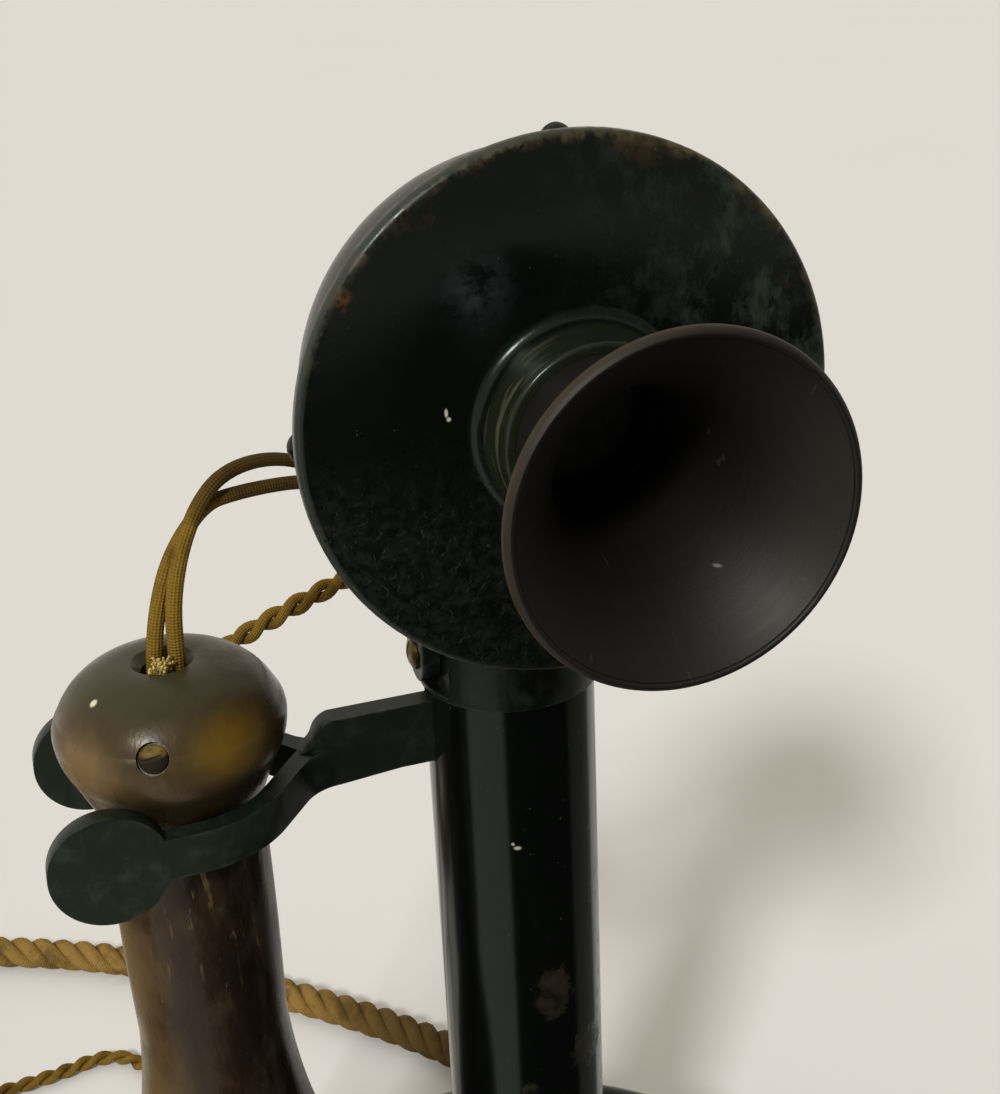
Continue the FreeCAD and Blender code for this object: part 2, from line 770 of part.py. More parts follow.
def make_switch():
    """Contact springs in a pile on a frame in the stem; the hook's tail lets them close."""
    ring = bar("switch_frame_ring", SPIGOT_RADIUS, S.frame_ring, (0, 0, FRAME_FOOT))
    wire_way = bar("switch_wire_way", S.frame_half, S.frame_ring + CLEAR * 2,
                   (-S.wire_way, 0, FRAME_FOOT - CLEAR))
    back = block("switch_frame_back", (S.frame_thick, S.frame_half * 2, FRAME_TOP - FRAME_FOOT),
                 (FRAME_FACE - S.frame_thick, -S.frame_half, FRAME_FOOT))
    pile_end = FIRST_SPRING + S.spring_pitch * SPRING_COUNT
    pile_length = pile_end - FRAME_FACE
    middle = SPRING_FOOT + S.pile_height / 2
    places = []
    for side in (-1, 1):
        spot = (pile_end, 0, middle + S.pile_screw_spread * side)
        places.append(Placement(vector(spot), pointing((1, 0, 0))))
    depth = pile_length + S.frame_thick
    holes = drill("pile_holes", places, S.pile_screw_radius + S.fit, depth + S.gap)
    frame = cut("switch_frame_open", fuse("switch_frame_blank", ring, back), wire_way)
    cut("switch_frame", frame, holes)

    leaves = []
    spacers = []
    for index in range(SPRING_COUNT):
        near = FIRST_SPRING + S.spring_pitch * index
        leaves.append(block(f"contact_leaf_{index}",
                            (S.spring_thick, S.spring_half * 2, SPRING_TOP - SPRING_FOOT),
                            (near, -S.spring_half, SPRING_FOOT)))
        spacers.append(block(f"pile_spacer_{index}",
                             (S.spring_pitch - S.spring_thick, S.spring_half * 2, S.pile_height),
                             (near - S.spring_pitch + S.spring_thick, -S.spring_half, SPRING_FOOT)))
    spacers.append(block("pile_spacer_end",
                         (S.spring_pitch - S.spring_thick, S.spring_half * 2, S.pile_height),
                         (pile_end - S.spring_pitch + S.spring_thick, -S.spring_half, SPRING_FOOT)))
    cut("contact_springs", group("contact_leaves", leaves), holes)
    cut("spring_insulators", group("pile_spacers", spacers), holes)
    screws("spring_pile_screws", places, S.pile_screw_head, S.pile_screw_rise, S.pile_screw_radius, depth)


# Hook

PRONG_MIDDLE = S.hook_height - S.prong_drop
PRONG_TOP = PRONG_MIDDLE + S.prong_tall / 2
FORK_OUTER = S.fork_gap + S.prong_thick
FORK_END = -S.fork_reach - S.paddle_reach
FORK_CROTCH = S.fork_gap / math.sin(FORK_WRAP) - S.fork_reach
WRAP_BOW = 1 - math.cos(FORK_WRAP / 2)


def make_hook():
    bar_foot = S.hook_height - S.hook_tall / 2
    bar_top = S.hook_height + S.hook_tall / 2
    prong_foot = PRONG_MIDDLE - S.prong_tall / 2
    tail_left = S.hook_pivot - S.tail_thick / 2
    tail_right = S.hook_pivot + S.tail_thick / 2
    wrap_sine = math.sin(FORK_WRAP)
    wrap_cosine = math.cos(FORK_WRAP)
    root_side = S.hook_thick / 2 + S.fork_root * (1 - wrap_cosine)
    root_far = (FORK_OUTER - root_side * wrap_cosine) / wrap_sine - S.fork_reach
    root_near = root_far + S.fork_root * wrap_sine
    lever = padded("hook_bar", "XZ_Plane", [
        (tail_left, TAIL_FOOT),
        (tail_right, TAIL_FOOT),
        (tail_right, bar_foot),
        (S.hook_inner, bar_foot + S.hook_chamfer),
        (S.hook_inner, bar_top - S.hook_chamfer),
        (tail_right, bar_top),
        (FORK_CROTCH + S.hook_shoulder, bar_top, S.shoulder_bow),
        (FORK_CROTCH + S.hook_shoulder / 2, (bar_top + PRONG_TOP) / 2, -S.shoulder_bow),
        (FORK_CROTCH, PRONG_TOP),
        (FORK_CROTCH, prong_foot),
        (root_near, prong_foot),
        (-S.stem_radius - S.hook_shoulder, bar_foot),
        (tail_left, bar_foot),
    ], S.hook_thick)
    fork = padded("hook_fork", "XY_Plane", [
        (FORK_END, -FORK_OUTER),
        (-S.fork_reach, -FORK_OUTER, FORK_OUTER * WRAP_BOW),
        (FORK_OUTER * wrap_sine - S.fork_reach, FORK_OUTER * -wrap_cosine),
        (root_far, -root_side, S.fork_root * -WRAP_BOW),
        (root_near, S.hook_thick / -2),
        (root_near, S.hook_thick / 2, S.fork_root * -WRAP_BOW),
        (root_far, root_side),
        (FORK_OUTER * wrap_sine - S.fork_reach, FORK_OUTER * wrap_cosine, FORK_OUTER * WRAP_BOW),
        (-S.fork_reach, FORK_OUTER),
        (FORK_END, FORK_OUTER),
        (FORK_END, S.fork_gap),
        (-S.fork_reach, S.fork_gap, S.fork_gap * -WRAP_BOW),
        (S.fork_gap * wrap_sine - S.fork_reach, S.fork_gap * wrap_cosine),
        (FORK_CROTCH, 0),
        (S.fork_gap * wrap_sine - S.fork_reach, S.fork_gap * -wrap_cosine, S.fork_gap * -WRAP_BOW),
        (-S.fork_reach, -S.fork_gap),
        (FORK_END, -S.fork_gap),
    ], S.prong_tall, (0, 0, PRONG_MIDDLE))
    paddles = [bar(f"hook_paddle_{name}", S.paddle_radius, S.prong_thick,
                   (FORK_END, low, PRONG_MIDDLE), (0, 1, 0))
               for name, low in (("near", -FORK_OUTER), ("far", S.fork_gap))]
    bore = bar("hook_pin_bore", S.hook_pin_radius + S.fit, S.hook_thick * 2,
               (S.hook_pivot, -S.hook_thick, S.hook_height), (0, 1, 0))
    cut("hook_lever", fuse("hook_blank", lever, fork, *paddles), bore)
    bar("hook_tail_stud", S.stud_radius, S.stud_length,
        (tail_right, 0, TAIL_FOOT + S.stud_radius), (1, 0, 0))


# Transmitter

TRANSMITTER_AXIS = Rotation(Vector(1, 0, 0), 90)
TRANSMITTER_AT = (0, -S.cup_setback, FACE_HEIGHT)
FACE_INSIDE = S.face_front - S.face_wall
RIM_BACK = S.face_front - S.face_rim
SKIRT_BACK = S.face_front - S.skirt_depth
SKIRT_RADIUS = S.face_radius - S.face_ledge
SKIRT_INSIDE = SKIRT_RADIUS - S.skirt_wall
BOSS_TOP = S.face_front + S.boss_depth
SEAT_DEPTH = S.face_front + S.mouth_seat
SOCKET_RADIUS = S.neck_radius + S.fit
BOSS_RADIUS = SOCKET_RADIUS + S.boss_wall
CUP_RADIUS = SKIRT_INSIDE - S.gap
CUP_FRONT = FACE_INSIDE - S.gap
LIP_INSIDE = CUP_RADIUS - S.cup_wall
CUP_INSIDE = LIP_INSIDE - S.cup_step
DIAPHRAGM_FRONT = FACE_INSIDE - S.gasket_thickness
DIAPHRAGM_BACK = DIAPHRAGM_FRONT - S.diaphragm_thickness
DAMPER_BACK = DIAPHRAGM_BACK - S.damper_thickness
GASKET_RADIUS = LIP_INSIDE - S.gap
BRIDGE_FRONT = S.ledge_depth + S.bridge_thickness


def transmitter_turned(label, corners):
    """A piece turned about the transmitter's axis; heights run forward from the back of the cup."""
    return turned(label, corners, TRANSMITTER_AT, TRANSMITTER_AXIS)


def on_transmitter(placement):
    """Takes a placement in the transmitter's own frame to the telephone's."""
    return Placement(vector(TRANSMITTER_AT), TRANSMITTER_AXIS).multiply(placement)


def face_screw_places():
    """In the middle of the skirt that shows behind the rim."""
    places = []
    for angle in FACE_SCREW_ANGLES:
        out = around(angle)
        spot = out * float(SKIRT_RADIUS) + Vector(0, 0, float(SKIRT_BACK + RIM_BACK) / 2)
        places.append(on_transmitter(Placement(spot, pointing(out))))
    return places


def yoke_screw_places():
    back = float(S.yoke_thickness - S.cup_setback)
    height = float(YOKE_SCREW_HEIGHT)
    return [Placement(Vector(side * float(S.yoke_screw_spread), back, height), pointing((0, 1, 0)))
            for side in (-1, 1)]


def make_transmitter_case():
    shank = SKIRT_RADIUS - LIP_INSIDE
    screw_holes = drill("face_screw_holes", face_screw_places(), S.face_screw_radius + S.fit, shank + S.gap)
    yoke_shank = S.yoke_thickness + S.cup_wall + S.cup_wall
    yoke_holes = drill("yoke_screw_holes", yoke_screw_places(), S.yoke_screw_radius + S.fit,
                       yoke_shank + S.gap)

    cup = transmitter_turned("transmitter_cup_spun", [
        (0, 0),
        (S.cup_back, 0, S.cup_bow),
        (CUP_RADIUS, S.cup_shoulder),
        (CUP_RADIUS, CUP_FRONT),
        (LIP_INSIDE, CUP_FRONT),
        (LIP_INSIDE, DAMPER_BACK),
        (CUP_INSIDE, DAMPER_BACK),
        (CUP_INSIDE, S.ledge_depth),
        (CUP_INSIDE - S.ledge_width, S.ledge_depth),
        (CUP_INSIDE - S.ledge_width, S.cup_shoulder, -S.cup_inner_bow),
        (S.cup_back - S.cup_wall, S.cup_wall),
        (0, S.cup_wall),
    ])
    cut("transmitter_cup", cup, screw_holes, yoke_holes)

    face = transmitter_turned("transmitter_face_turned", [
        (S.grille_radius, FACE_INSIDE),
        (SKIRT_INSIDE, FACE_INSIDE),
        (SKIRT_INSIDE, SKIRT_BACK),
        (SKIRT_RADIUS, SKIRT_BACK),
        (SKIRT_RADIUS, RIM_BACK),
        (S.face_radius, RIM_BACK),
        (S.face_radius, S.face_front - S.face_bevel, S.face_bevel * QUARTER_BOW),
        (S.face_radius - S.face_bevel, S.face_front, S.crown_bow),
        (S.boss_foot_radius, S.face_front + S.face_crown, S.boss_fillet * -QUARTER_BOW),
        (BOSS_RADIUS + S.boss_taper, S.face_front + S.face_crown + S.boss_fillet),
        (BOSS_RADIUS, BOSS_TOP - S.boss_edge, S.boss_edge * QUARTER_BOW),
        (BOSS_RADIUS - S.boss_edge, BOSS_TOP),
        (SOCKET_RADIUS, BOSS_TOP),
        (SOCKET_RADIUS, SEAT_DEPTH),
        (S.grille_radius, SEAT_DEPTH),
    ])
    cut("transmitter_face", face, screw_holes)
    screws("face_screws", face_screw_places(), S.face_screw_head, S.face_screw_rise,
           S.face_screw_radius, shank)

    neck_inside = S.neck_radius - S.neck_wall
    flare_foot = SEAT_DEPTH + S.neck_length
    mouth_front = SEAT_DEPTH + S.mouth_length
    transmitter_turned("mouthpiece", [
        (neck_inside, SEAT_DEPTH),
        (S.neck_radius, SEAT_DEPTH),
        (S.neck_radius, flare_foot, -S.mouth_bow),
        (S.mouth_radius - S.lip_swell, mouth_front - S.mouth_lip),
        (S.mouth_radius, mouth_front - S.mouth_lip / 2, S.lip_bow),
        (S.mouth_radius - S.lip_edge, mouth_front, S.lip_bow),
        (S.mouth_radius - S.lip_edge - S.lip_inner, mouth_front - S.lip_drop, S.mouth_bow),
        (neck_inside, flare_foot),
    ])

    cheek_inner = S.cap_flat + S.gap
    yoke_half = cheek_inner + S.cheek_thickness
    plate_middle = S.yoke_thickness / 2 - S.cup_setback
    plate = padded("yoke_plate", "XZ_Plane", [
        (-yoke_half, YOKE_FOOT),
        (yoke_half, YOKE_FOOT),
        (yoke_half, CHEEK_TOP),
        (S.yoke_shoulder, YOKE_TOP - S.yoke_round, S.yoke_round * QUARTER_BOW),
        (S.yoke_shoulder - S.yoke_round, YOKE_TOP),
        (S.yoke_round - S.yoke_shoulder, YOKE_TOP, S.yoke_round * QUARTER_BOW),
        (-S.yoke_shoulder, YOKE_TOP - S.yoke_round),
        (-yoke_half, CHEEK_TOP),
    ], S.yoke_thickness, (0, plate_middle, 0))
    cheeks = []
    for name, side in (("left", -1), ("right", 1)):
        cheeks.append(padded(f"yoke_cheek_{name}", "YZ_Plane", [
            (-S.cheek_round, TILT_HEIGHT, S.cheek_round * QUARTER_BOW),
            (0, TILT_HEIGHT - S.cheek_round, S.cheek_round * QUARTER_BOW),
            (S.cheek_round, TILT_HEIGHT),
            (S.cheek_round, CHEEK_TOP - S.cheek_round / 2),
            (S.cheek_round / 2, CHEEK_TOP),
            (S.cheek_round / -2, CHEEK_TOP),
            (-S.cheek_round, CHEEK_TOP - S.cheek_round / 2),
        ], S.cheek_thickness, ((cheek_inner + S.cheek_thickness / 2) * side, 0, 0)))
    pivot_bores = bar("yoke_pivot_bores", S.pivot_radius + S.fit, (yoke_half + CLEAR) * 2,
                      (-yoke_half - CLEAR, 0, TILT_HEIGHT), (1, 0, 0))
    cut("transmitter_yoke", fuse("yoke_blank", plate, *cheeks), pivot_bores, yoke_holes)
    screws("yoke_screws", yoke_screw_places(), S.yoke_screw_head, S.yoke_screw_rise,
           S.yoke_screw_radius, yoke_shank)


def make_transmitter_works():
    transmitter_turned("diaphragm_gasket", [
        (GASKET_RADIUS - S.gasket_width, DIAPHRAGM_FRONT), (GASKET_RADIUS, DIAPHRAGM_FRONT),
        (GASKET_RADIUS, FACE_INSIDE), (GASKET_RADIUS - S.gasket_width, FACE_INSIDE),
    ])
    transmitter_turned("diaphragm", [
        (0, DIAPHRAGM_BACK), (GASKET_RADIUS, DIAPHRAGM_BACK), (GASKET_RADIUS, DIAPHRAGM_FRONT),
        (0, DIAPHRAGM_FRONT),
    ])
    reach = GASKET_RADIUS - S.gap
    strip = block("damper_strip", (S.damper_length, S.damper_width, S.damper_thickness),
                  (reach - S.damper_length, S.damper_width / -2, DAMPER_BACK))
    turns = [Rotation(Vector(0, 0, 1), angle) for angle in DAMPER_ANGLES]
    copies("damping_springs", strip, [on_transmitter(Placement(Vector(), turn)) for turn in turns])

    span = CUP_INSIDE * 2
    crossbar = block("bridge_bar", (span, S.bridge_half * 2, S.bridge_thickness),
                     (-CUP_INSIDE, -S.bridge_half, S.ledge_depth))
    cup_round = bar("bridge_limit", CUP_INSIDE - S.fit, S.bridge_thickness, (0, 0, S.ledge_depth))
    stud_hole = bar("bridge_stud_hole", S.button_stud + S.gap, S.bridge_thickness + CLEAR * 2,
                    (0, 0, S.ledge_depth - CLEAR))
    bridge = cut("bridge_one", common("bridge_round", crossbar, cup_round), stud_hole)
    copies("transmitter_bridge", bridge, [on_transmitter(Placement())])

    washer_front = BRIDGE_FRONT + S.insulator_thickness
    washer_back = S.ledge_depth - S.insulator_thickness
    hole = S.button_stud + S.fit
    washer = [turned(f"button_washer_{name}", [
        (hole, low), (S.insulator_radius, low), (S.insulator_radius, low + S.insulator_thickness),
        (hole, low + S.insulator_thickness),
    ]) for name, low in (("front", BRIDGE_FRONT), ("back", washer_back))]
    copies("button_insulators", group("button_washers", washer), [on_transmitter(Placement())])
    transmitter_turned("carbon_button", [
        (0, washer_front - S.button_tail - S.bridge_thickness),
        (S.button_stud, washer_front - S.button_tail - S.bridge_thickness),
        (S.button_stud, washer_front),
        (S.button_radius, washer_front),
        (S.button_radius, washer_front + S.button_length),
        (S.button_stud, washer_front + S.button_length),
        (S.button_stud, DIAPHRAGM_BACK),
        (0, DIAPHRAGM_BACK),
    ])
    transmitter_turned("button_clamp_nut", [
        (hole, washer_back - S.clamp_nut_height), (S.clamp_nut_radius, washer_back - S.clamp_nut_height),
        (S.clamp_nut_radius, washer_back), (hole, washer_back),
    ])


# Receiver

SEAT_RADIUS = S.fork_gap - S.gap
RECEIVER_AT = (-S.fork_reach, 0, PRONG_TOP + S.gap)
THREAD_RADIUS = S.bell_radius - S.thread_depth
CAVITY_RADIUS = hypotenuse(S.magnet_space + S.magnet_width, S.magnet_depth / 2) + S.magnet_room
EAR_BORE = THREAD_RADIUS + S.fit
# The ear cap's edges are rounded no further than its wall allows
EAR_ROUND = smaller(S.ear_round, S.ear_radius - EAR_BORE - S.gap)
DIAPHRAGM_FOOT = -S.shell_foot - S.ear_diaphragm


def receiver_turned(label, corners):
    """A piece turned about the receiver's axis; heights are from its seat on the hook."""
    return turned(label, corners, RECEIVER_AT)


def tail_screw_place():
    """Sunk in the knob's shoulder, square to its slope."""
    level = around(TAIL_SCREW_ANGLE)
    tilt = math.radians(TAIL_SCREW_TILT)
    out = level * math.cos(tilt) + Vector(0, 0, math.sin(tilt))
    shoulder = level * float(S.knob_shoulder_radius) + Vector(0, 0, float(S.knob_shoulder))
    return Placement(vector(RECEIVER_AT) + shoulder - out * float(S.tail_screw_sink), pointing(out))


def make_receiver_case():
    bell_inside = S.bell_radius - S.shell_wall
    shell = receiver_turned("receiver_shell_turned", [
        (bell_inside, -S.shell_foot),
        (THREAD_RADIUS, -S.shell_foot),
        (THREAD_RADIUS, -S.bell_foot),
        (S.bell_radius, -S.bell_foot, S.bell_bow),
        (S.flare_radius, -S.flare_foot, -S.flare_bow),
        (S.waist_radius, -S.waist_foot, S.waist_swell),
        (S.waist_radius + S.waist_swell, -S.neck_drop, -S.neck_bow),
        (SEAT_RADIUS, 0),
        (S.knob_foot_radius, S.knob_foot, S.knob_under_bow),
        (S.knob_radius, S.knob_equator, S.knob_edge_bow),
        (S.knob_shoulder_radius, S.knob_shoulder, S.knob_bow),
        (S.cord_hole + S.cord_dimple, S.knob_top),
        (S.cord_hole, S.knob_top - S.cord_dimple),
        (S.cord_hole, S.cavity_top),
        (CAVITY_RADIUS, S.cavity_top),
        (CAVITY_RADIUS, -S.waist_foot, S.flare_bow),
        (S.flare_radius - S.shell_wall, -S.flare_foot, -S.bell_bow),
        (bell_inside, -S.bell_foot),
    ])
    place_of_screw = tail_screw_place()
    head_hole = drill("tail_screw_sinking", [place_of_screw], S.tail_screw_head + S.gap, S.fit,
                      S.knob_radius)
    shank_hole = drill("tail_screw_hole", [place_of_screw], S.tail_screw_radius + S.fit,
                       S.tail_screw_length + S.gap)
    cut("receiver_shell", shell, head_hole, shank_hole)
    screws("receiver_tail_screw", [place_of_screw], S.tail_screw_head, S.tail_screw_rise,
           S.tail_screw_radius, S.tail_screw_length)

    receiver_turned("ear_cap", [
        (S.ear_radius - EAR_ROUND, -S.ear_foot, EAR_ROUND * QUARTER_BOW),
        (S.ear_radius, EAR_ROUND - S.ear_foot),
        (S.ear_radius, -S.ear_top - EAR_ROUND, EAR_ROUND * QUARTER_BOW),
        (S.ear_radius - EAR_ROUND, -S.ear_top),
        (EAR_BORE, -S.ear_top),
        (EAR_BORE, DIAPHRAGM_FOOT),
        (EAR_BORE - S.ear_rim, DIAPHRAGM_FOOT),
        (EAR_BORE - S.ear_rim, DIAPHRAGM_FOOT - S.ear_space),
        (S.ear_hole, -S.ear_foot + S.ear_dish + S.ear_web),
        (S.ear_hole, -S.ear_foot + S.ear_dish, S.ear_bow),
        (S.ear_radius - S.ear_rim, -S.ear_foot),
    ])
    receiver_turned("receiver_diaphragm", [
        (0, DIAPHRAGM_FOOT), (THREAD_RADIUS, DIAPHRAGM_FOOT), (THREAD_RADIUS, -S.shell_foot),
        (0, -S.shell_foot),
    ])


def make_receiver_works():
    """Two bar magnets on a clamp, with a pole piece and a coil on the end of each."""
    def at_receiver(x, y, z):
        return (RECEIVER_AT[0] + x, y, RECEIVER_AT[2] + z)

    magnets = []
    poles = []
    coils = []
    half_depth = S.magnet_depth / 2
    pole_foot = -S.magnet_foot - S.pole_length
    pole_thick = S.magnet_width / 2
    for name, side in (("left", -1), ("right", 1)):
        magnet_low = S.magnet_space if side > 0 else -S.magnet_space - S.magnet_width
        pole_low = S.magnet_space + pole_thick / 2 if side > 0 else -S.magnet_space - pole_thick * 1.5
        magnets.append(block(f"magnet_{name}", (S.magnet_width, S.magnet_depth, S.magnet_foot),
                             at_receiver(magnet_low, -half_depth, -S.magnet_foot)))
        pole = block(f"pole_{name}", (pole_thick, S.magnet_depth, S.pole_length),
                     at_receiver(pole_low, -half_depth, pole_foot))
        poles.append(pole)
        side_room = S.magnet_space - S.gap + pole_thick / 2
        bobbin = block(f"coil_{name}_blank",
                       (pole_thick + side_room * 2, S.magnet_depth + S.coil_wall * 2, S.coil_length),
                       at_receiver(pole_low - side_room, -half_depth - S.coil_wall, pole_foot + S.coil_rise))
        window = block(f"coil_{name}_window",
                       (pole_thick + S.fit * 2, S.magnet_depth + S.fit * 2, S.coil_length + CLEAR * 2),
                       at_receiver(pole_low - S.fit, -half_depth - S.fit, pole_foot + S.coil_rise - CLEAR))
        coils.append(cut(f"coil_{name}", bobbin, window))
    group("receiver_magnets", magnets)
    group("pole_pieces", poles)
    group("receiver_coils", coils)
    block("magnet_clamp", (S.magnet_space * 2, S.magnet_depth, S.clamp_height),
          at_receiver(-S.magnet_space, -half_depth, S.cavity_top - S.clamp_height))
    posts = [bar(f"receiver_terminal_{name}", S.receiver_terminal_radius, S.receiver_terminal_length,
                 at_receiver(0, S.receiver_terminal_spread * side,
                             S.cavity_top - S.receiver_terminal_length))
             for name, side in (("near", -1), ("far", 1))]
    group("receiver_terminals", posts)


# Cords

def rounded_path(points):
    """Straight runs joined by tangent arcs, each as large as its two runs allow."""
    edges = []
    radii = []
    start = points[0]
    for before, corner, after in zip(points, points[1:], points[2:]):
        back = before - corner
        ahead = after - corner
        reach = ARC_SHARE * min(back.Length, ahead.Length)
        half_turn = (math.pi - back.getAngle(ahead)) / 2
        radius = reach / math.tan(half_turn)
        back.normalize()
        ahead.normalize()
        inward = (back + ahead).normalize()
        middle = corner + inward * (radius / math.cos(half_turn) - radius)
        edges.append(Part.LineSegment(start, corner + back * reach))
        edges.append(Part.Arc(corner + back * reach, middle, corner + ahead * reach))
        radii.append(radius)
        start = corner + ahead * reach
    edges.append(Part.LineSegment(start, points[-1]))
    return edges, radii


def tangent_arc(start, tangent, end):
    """The arc that leaves a point along a tangent and ends at another point."""
    chord = end - start
    half_turn = tangent.getAngle(chord)
    side = tangent - chord * (tangent.dot(chord) / chord.dot(chord))
    middle = (start + end) / 2 + side.normalize() * (chord.Length / 2 * math.tan(half_turn / 2))
    return Part.Arc(start, middle, end)


def biarc(start, leaving, end, arriving):
    """Two arcs that join two points along their tangents."""
    chord = end - start
    both = leaving + arriving
    spread = 2 * (1 - leaving.dot(arriving))
    along = chord.dot(both)
    reach = (math.sqrt(along * along + spread * chord.dot(chord)) - along) / spread
    joint = (start + end + (leaving - arriving) * reach) / 2
    second = tangent_arc(end, arriving * -1, joint)
    return [tangent_arc(start, leaving, joint), Part.Arc(joint, second.value(middle_parameter(second)), end)]


def middle_parameter(curve):
    return (curve.FirstParameter + curve.LastParameter) / 2


def swept(label, curves, radius):
    """A round tube along joined curves; prints its volume against section times length."""
    path = Part.Wire([curve.toShape() for curve in curves])
    start = path.Edges[0].valueAt(path.Edges[0].FirstParameter)
    tangent = path.Edges[0].tangentAt(path.Edges[0].FirstParameter)
    section = Part.Wire([Part.makeCircle(float(radius), start, tangent)])
    item = doc.addObject("Part::Feature", label)
    item.Shape = path.makePipeShell([section], True, False)
    expected = math.pi * float(radius) ** 2 * path.Length
    print(f"{label}: length {path.Length:.1f} mm, volume {item.Shape.Volume:.0f} of {expected:.0f} mm3")
    return path


def least_gap(path, radius, apart):
    """Least room between turns of one tube, measured on points of its middle line."""
    points = path.discretize(Distance=SAMPLE_STEP)
    skip = int(apart / SAMPLE_STEP)
    least = min((points[i] - points[j]).Length
                for i in range(len(points)) for j in range(i + skip, len(points)))
    return least - 2 * float(radius)


def coil_point(turn):
    """The coil's middle line: in on the lower layer, up in half a turn, and out on the upper one."""
    diameter = 2 * float(S.line_radius)
    step = diameter + float(S.coil_room)
    outer = float(S.coil_mid_radius) + step * COIL_TURNS / 2
    reversal = COIL_TURNS + COIL_CLIMB / 2
    climb = min(max((turn - COIL_TURNS) / COIL_CLIMB, 0), 1)
    radius = outer - step * (reversal - abs(reversal - turn))
    angle = math.radians(COIL_START_ANGLE) + 2 * math.pi * turn
    height = float(S.line_radius) + FLOOR_ROOM + step * climb * climb * (3 - 2 * climb)
    east, north = COIL_CENTRE
    return Vector(east + radius * math.cos(angle), north + radius * math.sin(angle), height)


def coil_curves():
    """The coil as biarcs of a quarter turn, with a straight end of one diameter at each end."""
    diameter = 2 * float(S.line_radius)
    step = COIL_TANGENT_STEP
    count = round((2 * COIL_TURNS + COIL_CLIMB) * COIL_STEPS_PER_TURN)
    turns = [index / COIL_STEPS_PER_TURN for index in range(count + 1)]
    points = [coil_point(turn) for turn in turns]
    tangents = [(coil_point(turn + step) - coil_point(turn - step)).normalize() for turn in turns]
    curves = [Part.LineSegment(points[0] - tangents[0] * diameter, points[0])]
    for index in range(count):
        curves += biarc(points[index], tangents[index], points[index + 1], tangents[index + 1])
    end = points[-1] + tangents[-1] * diameter
    curves.append(Part.LineSegment(points[-1], end))
    return curves, end, tangents[-1]


def make_line_end(end, tangent):
    """Ferrule on the end of the line cord, with three leads in spade tags."""
    frame = Placement(end, pointing(tangent))
    sleeve_radius = S.line_radius + S.ferrule_wall
    sleeve = turned("line_cord_ferrule", [
        (0, 0),
        (sleeve_radius, 0),
        (sleeve_radius, S.ferrule_length - S.ferrule_nose, S.ferrule_nose * QUARTER_BOW),
        (sleeve_radius - S.ferrule_nose, S.ferrule_length),
        (0, S.ferrule_length),
    ])
    sleeve.Placement = frame
    lead_end = S.ferrule_length + S.lead_length
    tags = []
    for index in (-1, 0, 1):
        lead = bar(f"tag_lead_{index + 1}", S.lead_radius, S.lead_length + S.lead_radius,
                   (S.lead_spread * index, 0, S.ferrule_length))
        across = S.tag_spread * index
        up = (S.tag_thickness + S.tag_room) * index
        blade = block(f"tag_blade_{index + 1}", (S.tag_width, S.tag_thickness, S.tag_length),
                      (across - S.tag_width / 2, up - S.tag_thickness / 2, lead_end))
        mouth = block(f"tag_mouth_{index + 1}",
                      (S.tag_mouth, S.tag_thickness + CLEAR * 2, S.tag_slot + CLEAR),
                      (across - S.tag_mouth / 2, up - S.tag_thickness / 2 - CLEAR,
                       lead_end + S.tag_length - S.tag_slot))
        tags.append(fuse(f"line_tag_{index + 1}", lead, cut(f"tag_spade_{index + 1}", blade, mouth)))
    copies("line_cord_tags", group("line_tags", tags), [frame])


def make_cords():
    inside = float(S.base_wall + S.bush_depth)
    receiver_end = RECEIVER_BUSH.multVec(Vector(0, 0, -inside))
    receiver_out = RECEIVER_BUSH.multVec(Vector(0, 0, inside + float(S.bush_lip)))
    receiver_points = [vector(point) for point in RECEIVER_ROUTE] + [receiver_out, receiver_end]
    receiver_edges, receiver_radii = rounded_path(receiver_points)
    swept("receiver_cord", receiver_edges, S.receiver_cord_radius)
    print("receiver_cord radii", " ".join(f"{radius:.0f}" for radius in receiver_radii))

    curves, end, tangent = coil_curves()
    coil = swept("line_cord_coil", curves, S.line_radius)
    room = least_gap(coil, S.line_radius, SAME_BEND * 2 * float(S.line_radius))
    print(f"line_cord_coil: least gap to itself {room:.2f} mm")
    line_start = LINE_BUSH.multVec(Vector(0, 0, -inside))
    line_points = [line_start] + [vector(point) for point in LINE_ROUTE] + [curves[0].StartPoint]
    line_edges, line_radii = rounded_path(line_points)
    swept("line_cord", line_edges, S.line_radius)
    print("line_cord radii", " ".join(f"{radius:.0f}" for radius in line_radii))
    make_line_end(end, tangent)


NODES = [
    "felt_pad", "base_plate", "base_plate_screws", "base_posts", "base_shell", "terminal_block",
    "terminal_screws", "line_cord_bush", "receiver_cord_bush", "stem_tube", "stem_nut", "stem_cap",
    "pivot_screws", "hook_pivot_pin", "switch_frame", "contact_springs", "spring_insulators",
    "spring_pile_screws", "hook_lever", "hook_tail_stud", "transmitter_cup", "transmitter_face",
    "face_screws", "mouthpiece", "transmitter_yoke", "yoke_screws", "diaphragm_gasket", "diaphragm",
    "damping_springs", "transmitter_bridge", "button_insulators", "carbon_button", "button_clamp_nut",
    "receiver_shell", "receiver_tail_screw", "ear_cap", "receiver_diaphragm", "receiver_magnets",
    "pole_pieces", "receiver_coils", "magnet_clamp", "receiver_terminals", "receiver_cord", "line_cord",
    "line_cord_coil", "line_cord_ferrule", "line_cord_tags",
]


